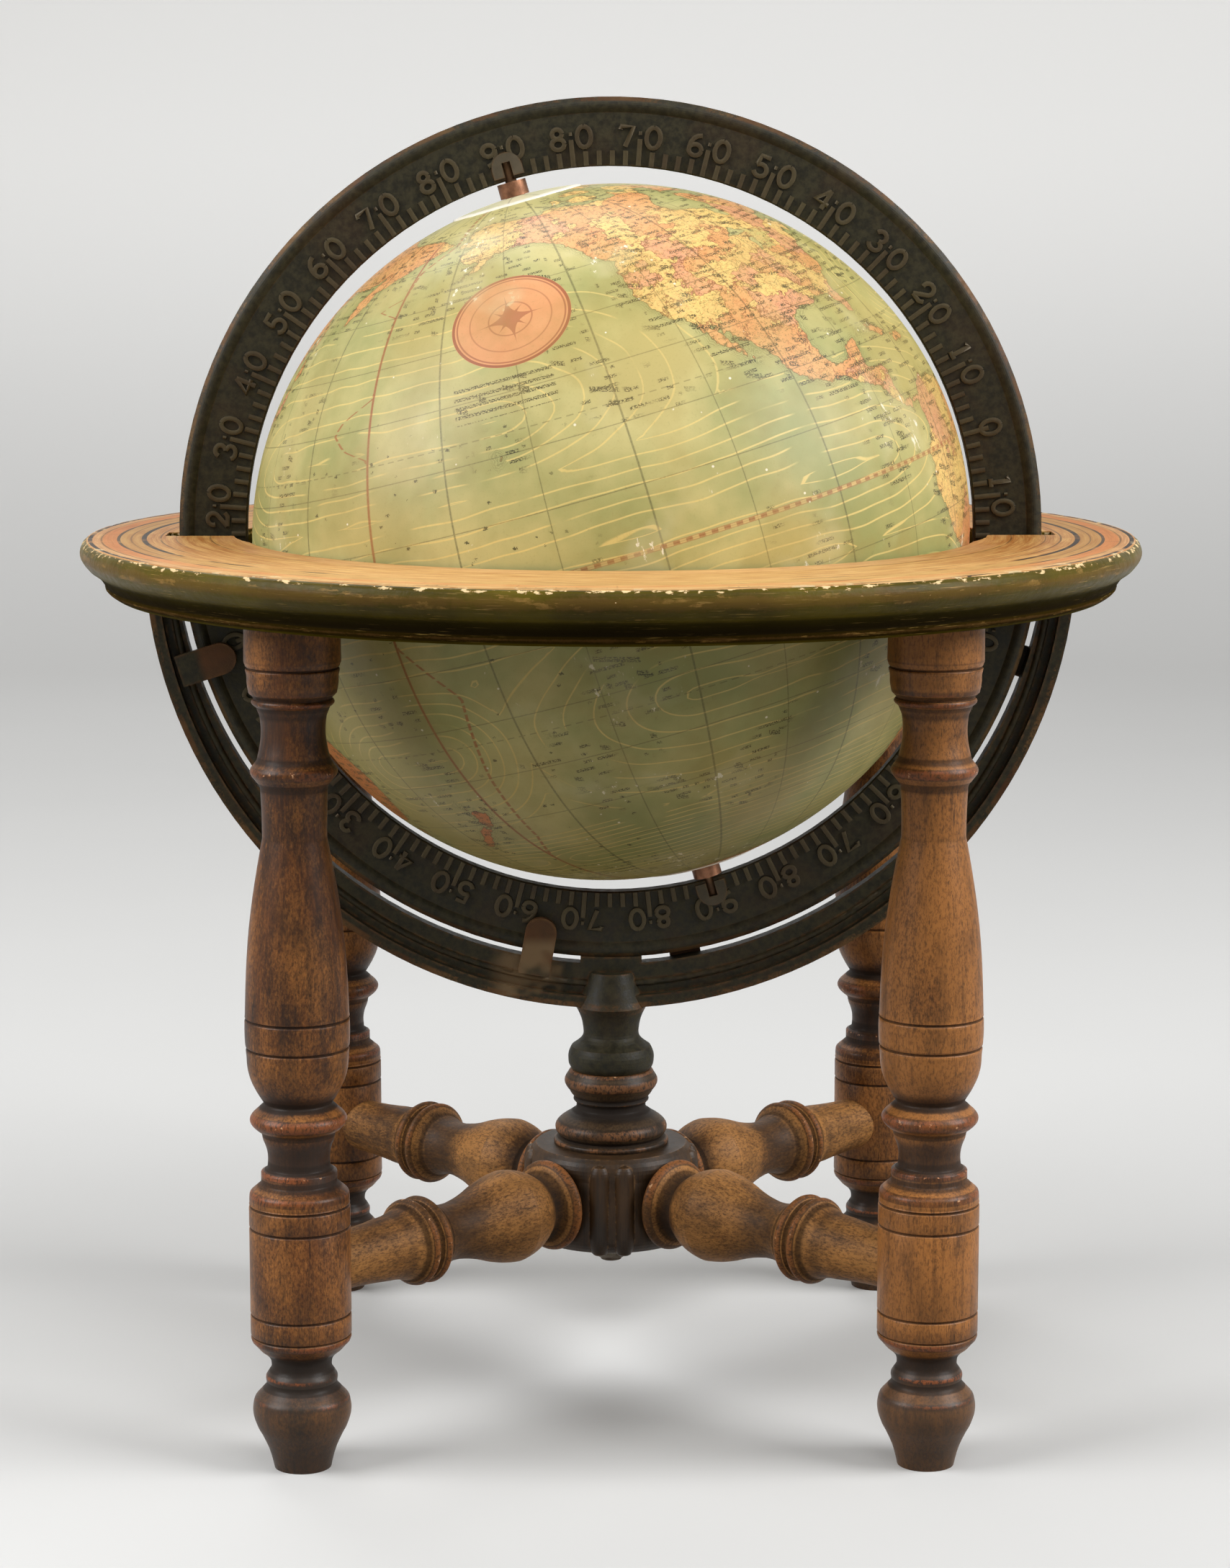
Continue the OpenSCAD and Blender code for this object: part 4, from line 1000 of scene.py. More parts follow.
@dataclass
class TurnedPiece:
    """A piece from the lathe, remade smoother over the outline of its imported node."""

    node: str
    finish: Finish
    axis: tuple[float, float, float] = (0.0, 0.0, 1.0)
    centre: tuple[float, float, float] = (0.0, 0.0, 0.0)
    bored_mm: float = 0.0
    mortised: tuple[float, float] = (0.0, 0.0)
    slot: str = "stand_wood"
    sides: int = 72
    # How much lighter or darker the piece is painted, as painted light and shade.
    painted_light_and_shade: float = 0.0

    def outline(self) -> np.ndarray:
        """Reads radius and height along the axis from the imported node, from one end to the other."""
        away = cad_corners(self.node) - np.array(self.centre)
        axis = np.array(self.axis)
        height = away @ axis
        radius = np.linalg.norm(away - height[:, None] * axis, axis=1)
        kept = (radius > self.bored_mm) & ~((height > self.mortised[0]) & (height < self.mortised[1]))
        path: list[tuple[float, float]] = []
        heights = np.round(height[kept] / LEVEL_MM).astype(int)
        radii = radius[kept]
        for level in np.unique(heights):
            here = np.sort(radii[heights == level])
            ends = [here[0]] + ([here[-1]] if here[-1] - here[0] > 0.05 else [])
            if path and abs(ends[-1] - path[-1][0]) < abs(ends[0] - path[-1][0]):
                ends.reverse()
            path += [(r, level * LEVEL_MM) for r in ends]
        return np.array(path)

    def build(self) -> bpy.types.Object:
        """Turns the outline round its axis.

        Returns:
            The object that stands for the node.
        """
        outline = smoothed(self.outline())
        relief = relief_of(outline, 1.0) * 0.9 + relief_of(outline, 2.4) * 1.4
        relief = np.clip(np.sign(relief) * np.maximum(np.abs(relief) - 0.16, 0) * 1.2, -1, 1)
        swell = np.clip(relief_of(outline, 7.0) * 1.6 + relief_of(outline, 14.0) * 1.6, -1, 1)
        angles = np.linspace(0, 2 * np.pi, self.sides, endpoint=False)
        axis = Vector(self.axis)
        side = axis.orthogonal().normalized()
        other = axis.cross(side)
        ring = np.cos(angles)[:, None] * np.array(side) + np.sin(angles)[:, None] * np.array(other)
        corners = (np.array(self.centre) + outline[:, 1, None, None] * np.array(self.axis)
                   + outline[:, 0, None, None] * ring[None])
        rows = len(outline)
        faces = quilt(rows, self.sides)
        faces += [list(range(self.sides))[::-1], list(range((rows - 1) * self.sides, rows * self.sides))]
        shift = sum(map(ord, self.node)) % 97 * 3.1
        radius, height = outline[:, 0, None], outline[:, 1, None]
        place = np.stack([radius * np.cos(angles), radius * np.sin(angles) + shift,
                          np.repeat(height, self.sides, 1) + shift], -1)
        skin = Skin(self.node + "_turned", corners.reshape(-1, 3), faces,
                    {"relief": np.repeat(relief, self.sides), "swell": np.repeat(swell, self.sides),
                     "painted_light_and_shade": np.full(rows * self.sides, self.painted_light_and_shade), "place": place.reshape(-1, 3)})
        made = skin.build(self.finish)
        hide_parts(self.node)
        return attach(made, "stand")


@dataclass
class Stand:
    """Four turned legs, the stretchers between them, the hub, the column and the iron that holds them."""

    leg_circle_mm: float = 119.6
    stretcher_z_mm: float = 54.3
    mortise_mm: tuple[float, float] = (45.0, 63.5)
    corners: dict[str, float] = field(default_factory=lambda: {
        "front_left": 225.0, "front_right": 315.0, "rear_left": 135.0, "rear_right": 45.0})
    leg_finish: Finish = TurnedWood("stained_walnut", roughness=0.36, coat=0.12, specular=0.22)
    stretcher_finish: Finish = TurnedWood(
        "rubbed_oak", roughness=0.46, specular=0.2, deep=paint(62, 39, 20), warm=paint(112, 72, 36),
        swell=paint(178, 125, 69), crest=paint(140, 86, 44), shade=paint(50, 34, 20), amount=0.3,
        specks=0.06, fleck=0.5, shading=0.6, bead_shade=0.4)
    column_finish: Finish = TurnedWood(
        "dark_mahogany", roughness=0.4, coat=0.06, specular=0.22, deep=paint(26, 18, 11),
        warm=paint(50, 36, 23), swell=paint(82, 63, 42), crest=paint(128, 84, 50), shade=paint(26, 19, 13),
        amount=0.5, specks=0.05)
    # Painted light and shade per leg: the front left leg is painted darker and the front right leg lighter,
    # as the side light falls from the right.
    painted_light_and_shade_by_leg: dict[str, float] = field(default_factory=lambda: {"front_left": -0.16, "front_right": 0.15})

    def build(self) -> Iterable[bpy.types.Object]:
        """Turns the legs, stretchers and column, and finishes the hub and the hidden iron.

        Yields:
            Each object that was made.
        """
        for corner, degrees in self.corners.items():
            way = (math.cos(math.radians(degrees)), math.sin(math.radians(degrees)))
            foot = (way[0] * self.leg_circle_mm, way[1] * self.leg_circle_mm, 0.0)
            yield TurnedPiece("leg_" + corner, self.leg_finish, centre=foot, mortised=self.mortise_mm,
                              painted_light_and_shade=self.painted_light_and_shade_by_leg.get(corner, 0.0)).build()
            yield TurnedPiece("stretcher_" + corner, self.stretcher_finish, axis=(way[0], way[1], 0.0),
                              centre=(0.0, 0.0, self.stretcher_z_mm), slot="stretcher_wood").build()
        yield TurnedPiece("column", self.column_finish, bored_mm=4.0).build()
        dress(CarvedWood("carved_hub", roughness=0.4, coat=0.08, specular=0.25), "hub")
        steel = Metal("dull_steel", roughness=0.45, metallic=0.9, bright=paint(128, 120, 108),
                      dull=paint(70, 58, 48))
        dress(steel, "tie_rod", "tie_washer", "tie_nut", "cradle_screws")
        iron = CastIron("cradle_iron", roughness=0.42, specular=0.2, bump_mm=0.12, rusting=0.08,
                        edge_mm=1.6, guides_mm=122.0, fillet_highlight=0.85, bronze=paint(132, 98, 62),
                        rim_centre_mm=240.9, rim_mm=130.6)
        dress(iron, "cradle")


def dress(finish: Finish, *nodes: str) -> None:
    """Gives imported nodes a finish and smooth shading."""
    material = finish.make()
    for name in nodes:
        node = FRAME["nodes"][name]
        node.data.materials.clear()
        node.data.materials.append(material)
        node.data.set_sharp_from_angle(angle=math.radians(SMOOTH_DEG))


@dataclass
class Horizon:
    """The moulded wooden ring and the printed paper on it, with notches for the meridian ring."""

    inner_mm: float = 103.3
    outer_mm: float = 149.3
    paper_mm: float = 147.6
    bottom_mm: float = 230.4
    top_mm: float = 245.2
    paper_top_mm: float = 245.5
    notch_half_mm: float = 5.4
    notch_end_mm: float = 125.6
    scoop_depth_mm: float = 3.2
    scoop_reach_mm: float = 25.0
    step_deg: float = 0.5
    paint_run_mm: float = 145.0

    def angles(self) -> np.ndarray:
        """Directions round the ring in degrees, closer together at the notches' walls."""
        wall = [math.degrees(math.atan2(self.notch_half_mm, self.notch_end_mm)),
                math.degrees(math.asin(self.notch_half_mm / (self.inner_mm + self.scoop_depth_mm)))]
        close = np.concatenate([np.linspace(wall[0], wall[1], 7), [wall[1] + 0.05]])
        base = np.arange(0.0, 360.0, self.step_deg)
        extra = np.concatenate([side + sign * close for side in (0.0, 180.0) for sign in (1, -1)]) % 360
        kept = [a for a in base if np.min(np.abs(extra - a)) > 0.08]
        return np.sort(np.concatenate([kept, extra]))

    def mouth(self, degrees: np.ndarray) -> np.ndarray:
        """Distance from the centre to the inner edge in each direction."""
        off = np.radians(np.abs((degrees + 90) % 180 - 90))
        edge = math.sqrt(self.inner_mm ** 2 - self.scoop_reach_mm ** 2)
        rise = self.inner_mm + self.scoop_depth_mm - edge
        scoop = (rise ** 2 + self.scoop_reach_mm ** 2) / (2 * rise)
        centre = self.inner_mm + self.scoop_depth_mm - scoop
        scooped = centre * np.cos(off) + np.sqrt(np.maximum(scoop ** 2 - (centre * np.sin(off)) ** 2, 0))
        slot = np.minimum(self.notch_end_mm / np.cos(off),
                          self.notch_half_mm / np.maximum(np.sin(off), 1e-6))
        return np.maximum.reduce([np.full_like(off, self.inner_mm), scooped, slot])

    def moulding(self) -> np.ndarray:
        """The outline of the moulded edge, from the underside up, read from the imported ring."""
        away = cad_corners("horizon_ring")
        radius = np.hypot(away[:, 0], away[:, 1])
        edge = radius > self.outer_mm - 12
        levels = np.round(away[edge, 2] / LEVEL_MM).astype(int)
        path = [(radius[edge][levels == level].max(), level * LEVEL_MM) for level in np.unique(levels)]
        return smoothed(np.array(path), 50.0, 0.3)

    def loop(self, outline: np.ndarray, degrees: np.ndarray,
             wave: np.ndarray) -> tuple[np.ndarray, list[Sequence[int]]]:
        """Sweeps an outer outline round the ring and closes it along the inner edge.

        Args:
            outline: Radius and height of the outer edge, from the underside up.
            degrees: Directions round the ring.
            wave: How far the inner edge is drawn outwards, and the outer edge inwards, in each direction.

        Returns:
            Corners, direction by direction, and faces.
        """
        turn = np.radians(degrees)[:, None]
        inner = self.mouth(degrees)[:, None] + wave[:, None] * 0.4
        middle = np.maximum(inner + 1.2, outline[:, 0].min() - 6)
        low, high = outline[0, 1], outline[-1, 1]
        shape = np.ones_like(inner)
        radius = np.hstack([inner, middle, outline[None, :, 0] - wave[:, None], middle, inner])
        height = np.hstack([low * shape, low * shape, np.repeat(outline[None, :, 1], len(degrees), 0),
                            high * shape, high * shape])
        corners = np.stack([radius * np.cos(turn), radius * np.sin(turn), height], -1)
        return corners.reshape(-1, 3), quilt(len(degrees), radius.shape[1], closed=True)

    def build(self) -> Iterable[bpy.types.Object]:
        """Makes the wooden ring and its paper.

        Yields:
            Each object that was made.
        """
        degrees = self.angles()
        outline = self.moulding()
        corners, faces = self.loop(outline, degrees, np.zeros(len(degrees)))
        count = len(outline) + 4
        relief = np.clip(relief_of(outline, 1.0) * 0.8 + relief_of(outline, 3.2) * 1.2, -1, 1)
        relief = np.concatenate([[0, 0], relief, [0, 0]])
        upper = (outline[:, 1] - self.bottom_mm) / (self.top_mm - self.bottom_mm)
        upper = np.concatenate([[0, 0], upper, [1, 1]])
        lip = np.clip((upper - 0.9) / 0.08, 0, 1)
        around = np.repeat(((degrees + 270) % 360) * math.pi / 180 * self.paint_run_mm, count)
        place = np.stack([np.hypot(corners[:, 0], corners[:, 1]), corners[:, 2], around], -1)
        ring = Skin("horizon_moulding", corners, faces, {
            "relief": np.tile(relief, len(degrees)), "top": np.tile(upper, len(degrees)),
            "lip": np.tile(lip, len(degrees)), "place": place})
        made = ring.build(PaintedWood("olive_paint", roughness=0.32, specular=0.09, bump_mm=0.14))
        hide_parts("horizon_ring")
        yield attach(made, "stand")
        torn = np.array([noise.noise(Vector((math.cos(a) * 30, math.sin(a) * 30, 0.0)))
                         + 0.6 * noise.noise(Vector((math.cos(a) * 95, math.sin(a) * 95, 3.0)))
                         for a in np.radians(degrees)])
        torn = 0.12 + np.clip(torn - 0.15, 0, 1) * 0.9
        edge = np.array([[self.paper_mm, self.top_mm], [self.paper_mm - 0.12, self.paper_top_mm]])
        corners, faces = self.loop(edge, degrees, torn)
        paper = Skin("horizon_print", corners, faces)
        made = paper.build(HorizonPrint("toned_print", roughness=0.5, specular=0.12, bump_mm=0.05))
        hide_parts("horizon_paper")
        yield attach(made, "stand")


@dataclass
class Graduation:
    """The raised scale on the meridian ring's front: a tick every two degrees and a figure every ten."""

    face_mm: float = 2.5
    pole_deg: float = 105.8
    inner_mm: float = 103.2
    tick_end_mm: float = 107.2
    long_end_mm: float = 110.6
    dot_mm: float = 112.2
    figure_base_mm: float = 107.9
    figure_mm: float = 6.5
    stroke_mm: float = 1.6
    tick_mm: float = 1.7
    height_mm: float = 0.95
    figure_gap_mm: float = 3.7
    clear_deg: float = 3.0

    @staticmethod
    def arc(x: float, y: float, wide: float, high: float, start: float,
            end: float) -> list[tuple[float, float]]:
        """Points along part of an ellipse, with angles in degrees."""
        turns = np.radians(np.linspace(start, end, max(5, int(abs(end - start) / 20))))
        return [(x + wide * math.cos(t), y + high * math.sin(t)) for t in turns]

    def strokes(self, digit: int) -> list[list[tuple[float, float]]]:
        """The pen strokes of a figure in a box 0.72 wide and 1 high."""
        arc = self.arc
        return {
            0: [arc(0.36, 0.5, 0.3, 0.44, 90, 450)],
            1: [[(0.2, 0.76), (0.36, 0.92), (0.36, 0.06)], [(0.18, 0.06), (0.54, 0.06)]],
            2: [arc(0.36, 0.68, 0.26, 0.25, 200, -35) + [(0.08, 0.08)],
                [(0.08, 0.08), (0.5, 0.06), (0.66, 0.2)]],
            3: [arc(0.34, 0.71, 0.24, 0.22, 170, -80), arc(0.34, 0.27, 0.28, 0.22, 80, -165)],
            4: [[(0.5, 0.94), (0.06, 0.32), (0.68, 0.32)], [(0.5, 0.94), (0.5, 0.06)]],
            5: [[(0.6, 0.92), (0.2, 0.92), (0.15, 0.54)] + arc(0.34, 0.31, 0.28, 0.26, 130, -160)],
            6: [arc(0.36, 0.3, 0.27, 0.24, 0, 360), arc(0.56, 0.4, 0.47, 0.54, 185, 90)],
            7: [[(0.08, 0.78), (0.1, 0.92), (0.64, 0.92), (0.3, 0.06)]],
            8: [arc(0.36, 0.72, 0.21, 0.2, 0, 360), arc(0.36, 0.28, 0.27, 0.23, 0, 360)],
            9: [arc(0.36, 0.68, 0.27, 0.24, 0, 360), arc(0.16, 0.58, 0.47, 0.54, 5, -90)],
        }[digit]

    def bead(self, path: np.ndarray, wide: float) -> Bead:
        """Lays a half-round bead along a path on the ring's face.

        Args:
            path: Points in the plane of the ring, in millimetres from its centre.
            wide: Width of the bead.

        Returns:
            Corners, faces and the height share of each corner.
        """
        way = np.gradient(path, axis=0)
        way /= np.maximum(np.linalg.norm(way, axis=1), 1e-9)[:, None]
        across = np.stack([-way[:, 1], way[:, 0]], 1)
        section = ((-0.5, -0.3), (-0.38, 0.8), (0.0, 1.0), (0.38, 0.8), (0.5, -0.3))
        corners = np.zeros((len(path), len(section), 3))
        for i, (side, up) in enumerate(section):
            flat = path + across * side * wide
            corners[:, i] = np.stack([flat[:, 0], np.full(len(path), -self.face_mm - up * self.height_mm),
                                      flat[:, 1] + CENTRE_Z_MM], 1)
        faces = quilt(len(path), len(section))
        last = (len(path) - 1) * len(section)
        faces += [list(range(len(section)))[::-1], list(range(last, last + len(section)))]
        share = np.tile([max(up, 0.0) for _, up in section], len(path))
        return corners.reshape(-1, 3), faces, share

    def polar(self, degrees: float, radii: Sequence[float]) -> np.ndarray:
        """Points on a spoke of the ring."""
        turn = math.radians(degrees)
        return np.outer(radii, (math.cos(turn), math.sin(turn)))

    def figure(self, digit: int, degrees: float, shift_mm: float) -> list[Bead]:
        """Beads for one figure, its top outwards, beside the tick at that angle."""
        middle = self.figure_base_mm + self.figure_mm / 2
        turn = math.radians(degrees) - shift_mm / middle
        right, up = np.array([math.sin(turn), -math.cos(turn)]), np.array([math.cos(turn), math.sin(turn)])
        made = []
        for stroke in self.strokes(digit):
            local = (np.array(stroke) - [0.36, 0.0]) * self.figure_mm
            path = local[:, :1] * right + (local[:, 1:] + self.figure_base_mm) * up
            made.append(self.bead(path, self.stroke_mm))
        return made

    def build(self) -> Iterable[bpy.types.Object]:
        """Makes all ticks and figures as one raised piece.

        Yields:
            The object.
        """
        beads = []
        for off in range(0, 360, 2):
            from_pole = min(off % 180, 180 - off % 180)
            if from_pole < self.clear_deg:
                continue
            end = self.tick_end_mm if off % 10 else self.long_end_mm
            beads.append(self.bead(self.polar(self.pole_deg + off, (self.inner_mm, end)), self.tick_mm))
        for off in range(0, 360, 10):
            value = abs(90 - off % 180)
            gap = self.figure_gap_mm
            angle = self.pole_deg + off
            if value:
                beads += self.figure(value // 10, angle, -gap)
            beads += self.figure(0, angle, gap if value else 0.0)
            if value:
                beads.append(self.bead(self.polar(angle, (self.dot_mm - 0.5, self.dot_mm + 0.5)), 1.1))
        corners, faces, share, count = [], [], [], 0
        for points, quads, part in beads:
            corners.append(points)
            faces += [[i + count for i in quad] for quad in quads]
            share.append(part)
            count += len(points)
        relief = np.concatenate(share) * 0.7
        iron = CastIron("raised_iron", roughness=0.4, specular=0.3, rubbing=0.3, black=paint(38, 35, 25),
                        olive=paint(60, 54, 38), bronze=paint(90, 80, 56), rust=paint(74, 60, 42),
                        bump_mm=0.06)
        skin = Skin("meridian_graduation", np.concatenate(corners), faces, {"relief": relief})
        made = skin.build(iron, 60.0)
        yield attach(made, "meridian")


class Tint(Enum):
    """The printer's tints for the lands, each with a seed in every country that wears it."""

    YELLOW = (
        "-152,65 -163,64 -120,72 -100,75 -85,72 -116,56 -98,55 -86,50 -121,47.5 -114.5,45 -121,37.5 "
        "-118,35.2 -117,39.5 -112,34.3 -105.5,39 -100.5,47.5 -99.8,41.5 -97,35.6 -93.5,42 -92.4,34.8 "
        "-90,44.5 -89.6,32.7 -83.4,32.7 -85,37.6 -69,45.3 -84,10 -66,7.5 -78.5,-1.5 -75.5,-9 -60,-4 "
        "-51,-22 -66,-43 -56,-33 -42,73 -8,39.5 2.5,46.8 22,42 9,61 68,48 54,33 101,16 104,32 113,28 "
        "97,36 3,31 -5,22 20,20 -8,9 22,-3 38,2 23,-23 46.8,-19 110,-7.3 144,-6 120,-80 -60,-80 133,-20")
    ROSE = (
        "-136,64 -73,50 -120.5,44 -111.5,39.5 -109.5,47 -98.4,38.5 -99,31.5 -92,31 -89.2,40 -82,28.5 "
        "-86.3,35.8 -76,42 -90,15 -85,12.8 -74.5,4.5 -80,8.5 -64.5,-17 -65,-34 -4,40 10.5,51 22,39 "
        "26,63.5 62,43 66,34 78,23 76,14 88,31 125,46 138,36.5 -6,32 29,26.5 -1,8 15,3 36,-5 28,-16 "
        "22,-31.5 121,-2 122,-26")
    ORANGE = (
        "-128,56 -123,54 -126,66 -107,56 -97,63 -70,68 -63,54 -106,34.5 -107.5,43 -100,44.4 -94.5,46 "
        "-92.5,38.5 -86.8,32.8 -84.5,40.3 -79,36.5 -110,29.5 -106,28.5 -102.5,25 -99,20 -92.5,16.5 -89,20 "
        "-113.5,27.5 -86.5,14.7 -59,5 -45,-8 -71.5,-35 -70,-25 -73,-48 -58,-23 -2,53 17,47.5 33,39 15,62 "
        "38,55 50,60 30,50 45,48 70,62 90,63 105,62 120,62 140,65 165,66 160,57 132,52 96,21 127,37.5 "
        "143,43.3 16,28 8,20 30,13 8,9.5 39,9 17,-22 101.5,0 137,-4 121.5,16 125,8 135,-29 145,-22 "
        "147,-32 144,-37 175.5,-39 170.5,-44 -76,21.5 -71,19 0,-80")
    GREEN = (
        "-85,44 -8,53 12.5,42.8 45,25 106,15 104,46.5 -13,13 47,7 17,-12 36,-16 28,-26 114,0 -19,65 "
        "81,7.5 147,-42 -56,48.5 18,79 56,74 -52,-10")


class Coast(Enum):
    """Shores of the lands, clockwise or not, as longitude and latitude."""

    NORTH_AMERICA = (
        "-168,65.6 -162,66.2 -166.8,68.3 -161.5,70.3 -156.5,71.3 -150,70.5 -141,69.7 -135,69 -127.5,70.5 "
        "-120,69.5 -115,68 -108,68 -101,67.8 -96,68.2 -94.5,71.9 -92,69.5 -88,68.5 -85,69.5 -81.5,68.5 "
        "-86.5,66.5 -87.5,64.5 -93,62 -94.8,60 -94.2,58.8 -92.5,57 -88,56.5 -82.5,55.2 -82.2,53 "
        "-80.5,51.3 -79,51.5 -79,54.5 -77,56.5 -78.5,58.8 -77.5,60.5 -78,62.3 -73,62.2 -70,61 -69.5,59 "
        "-66,58.8 -64.5,60.3 -62,57.5 -57.5,54.5 -55.8,52.5 -60,50.2 -66.5,50.2 -71,47 -65,48.8 -65,47 "
        "-60,46 -65.8,43.5 -66.5,45 -70,43.8 -70,41.7 -74,40.6 -75.3,38 -75.5,35.3 -79,33.5 -81.3,31 "
        "-80.1,26.8 -80.4,25.2 -81.8,26 -82.8,28 -84,30 -88,30.3 -90,29.2 -94,29.6 -97.2,27.8 -97.5,25 "
        "-97.8,22.3 -96.2,19.2 -94.5,18.2 -91.5,18.6 -90.4,20.8 -87,21.5 -87.8,18.3 -88.5,16 -84,15.8 "
        "-83.2,15 -83.7,11.5 -82,9.2 -79.6,9.5 -77.3,8.5 -78.2,7.8 -79.8,8.6 -81,7.4 -83,8.4 -85.7,10 "
        "-87.5,12.9 -91.5,14 -94.5,16.2 -98,16.1 -101.8,17.6 -105.4,20 -105.6,22.6 -108,25.2 -109.5,26.7 "
        "-112.5,30 -114.7,31.7 -113,29 -111.3,26 -109.5,23.1 -110.2,23.3 -112.2,25.5 -115,28 -115.8,30.2 "
        "-117.2,32.7 -118.5,34 -120.6,34.6 -122.4,37.2 -124.3,40.3 -124.2,43.5 -124.5,48.3 -123,49 "
        "-127.5,51 -130.2,54.5 -133.5,57.5 -137,58.8 -140,59.8 -144,60.1 -148,60.3 -151.7,59.2 -150.5,61 "
        "-153.5,59.2 -158,56.5 -164,54.7 -161,56 -157.5,58.7 -162,58.8 -164.5,60.5 -166,61.6 -161,63.5 "
        "-161,64.4 -166,64.5")
    SOUTH_AMERICA = (
        "-77.3,8.5 -75.5,10.7 -72,12.2 -71.5,10.8 -68,11.5 -64.5,10.2 -61.9,10.7 -60,8.5 -57,6 -52,4.8 "
        "-50,0 -48,-0.7 -44,-2.6 -39.5,-3 -35.3,-5.2 -34.9,-8 -37,-11.5 -39,-13 -39,-17.5 -41,-21.8 "
        "-43,-23 -48,-25.5 -48.7,-28.4 -52,-32.8 -54.5,-34.8 -58,-34.2 -57,-36.5 -58,-38.2 -62,-39 "
        "-65,-41 -67.5,-46 -65.8,-47.8 -69,-51 -68.3,-52.5 -65.2,-54.7 -70,-55.3 -74.5,-52 -75.5,-48 "
        "-73.5,-42 -73.5,-37 -71.5,-30 -70.2,-20 -70.3,-18.3 -76,-14 -79.5,-8 -81.3,-5 -80,-2.7 -80.6,0 "
        "-78.8,1.5 -77.5,4 -77.9,7.2")
    GREENLAND = (
        "-73,78.2 -60,82 -32,83.5 -20,81.5 -19,76 -22,70.5 -32,68 -40,65 -43.5,60 -48,61 -52,65 -54,69.5 "
        "-58,75.5")
    BAFFIN = "-80,73.7 -71,71.5 -62,66.5 -65,62.5 -72,64 -78,64.5 -74,68 -85,70 -90,72 -86,73.8"
    ELLESMERE = "-90,76.5 -78,76.5 -75,79 -62,82.5 -75,83 -92,81"
    VICTORIA = "-117,69.8 -105,69 -103,70.5 -107,73 -118,72.5"
    BANKS = "-125,71.5 -117,73 -124,74.3"
    MELVILLE = "-100,73 -95,74 -98,76.5 -115,76.2 -114,75"
    CUBA = "-84.5,22 -80,23 -74.3,20.2 -77.5,19.9 -81,22"
    HISPANIOLA = "-74,19.8 -69,19.5 -68.5,18.3 -73.5,18.2"
    NEWFOUNDLAND = "-59,47.7 -56,51.5 -53,47 -55,46.9"
    ICELAND = "-24,65.5 -18,66.4 -14,65 -19,63.5 -22.5,64"
    AFRICA = (
        "-5.9,35.8 -2,35.2 3,36.9 10,37.3 11,34 15.5,32.3 20,30.7 20,32.7 25,31.7 32,31.3 34,28 37,21.5 "
        "39.5,15.5 43.2,11.6 51.2,11.8 48,4.5 42,-1.5 39.3,-5 40.5,-11 40.5,-15.5 35,-20 35.5,-24 "
        "32.8,-27 30,-31.5 26,-34 20,-34.8 18.3,-33.5 15.5,-27 12,-17 13.5,-9 12,-5 9.3,-0.5 9.5,4 6,4.3 "
        "2,6.3 -4,5.2 -8,4.5 -13,8.5 -16.8,13 -17.4,14.8 -16.3,19 -17,21 -14.5,26 -10,30 -9,33")
    MADAGASCAR = "49.3,-12 50.3,-15.5 47,-25 44,-25 43.5,-21.5 44.5,-16.5"
    EURASIA = (
        "-9.3,38.7 -8.8,43.2 -1.8,43.4 -1.2,46 -4.7,48.4 -1.5,49.3 2,51 4.5,52.5 8.2,53.8 8.2,57 "
        "10.5,57.7 10,54.5 14,54 19,54.5 21.2,57 24,59.3 30,59.9 23,60 21.3,61.5 25,65 22,65.7 17.5,62 "
        "18.5,60 16.5,57 13,55.4 11,59 6,58.3 5,61.5 12,66.5 19,70 28,71 41,67 33,66.5 40,64.5 44,66.5 "
        "46,68.3 54,68.6 60,69.5 68,69 67,72.5 73,71.5 80,73 87,75 98,76 104,77.7 113,74 127,73 130,71 "
        "140,72.7 152,71 160,69.8 170,69.8 180,69 190,66.1 184,64.9 177.5,62.5 170,60 163,58 162,55 "
        "156.8,51 155.7,56 161,60.5 164,61.8 154,59.5 142,59.2 135.5,54.8 141,53 140,48.5 136,44.5 "
        "131.5,43 127.5,39.8 129.3,36.5 129,35.3 126.4,34.5 126.5,37.7 125,39.8 121.5,39 121.5,40.8 "
        "118,39 122.4,37.3 119.3,35 121.8,31.5 121.5,28.5 118,24.5 114,22.3 110,21 108.5,21.7 106,19 "
        "109,14 109,11.5 105,9 103,11 100.6,13.5 99.5,10 103.4,4.5 104,1.4 101,3 98.3,8 98.5,13 97.5,16.5 "
        "94.3,16 92,21.5 88.5,21.7 86.5,20 82,16.5 80.2,13.5 79.8,10.3 77.5,8.1 76,11 73,18 72.6,21 "
        "69,22.3 67,24.8 61.5,25.1 57,25.7 56.4,27.1 51.5,27.9 50,30.2 48,29.8 50,26.5 51.4,25 54,24.2 "
        "56.3,26.2 59.8,22.5 57.5,19 52,15.6 45,12.8 43.3,13 42.5,16.5 39,21.3 35,28 34.3,31.2 36,36.5 "
        "30.5,36.5 27.5,37 26.3,39.5 29,41.1 35,42 41.5,41.5 38,44.5 39,47 34,45 31,46.7 28.5,44 28,41.8 "
        "23.5,40.5 23.5,38 22,36.6 19.5,41.5 13.5,45.5 12.5,44 16,41.8 18.4,40.2 16,38 15.5,40.3 "
        "12.5,41.5 10,44 7,43.6 3.2,43 -0.3,39.5 -2,36.8 -5.6,36.1 -8.9,37.1")
    BRITAIN = "-5.5,50 1.3,51.2 0,53.5 -2,55.8 -2,57.6 -5,58.6 -6,56.5 -3,54.2 -5,52"
    IRELAND = "-10,51.6 -6,52.2 -6,54.7 -10,54.2"
    SPITSBERGEN = "12,79.5 25,80.2 18,76.7"
    NOVAYA_ZEMLYA = "52,71 57,71 68,76.8 58,75.5"
    SAKHALIN = "142,46 142.5,54.3 144.5,49"
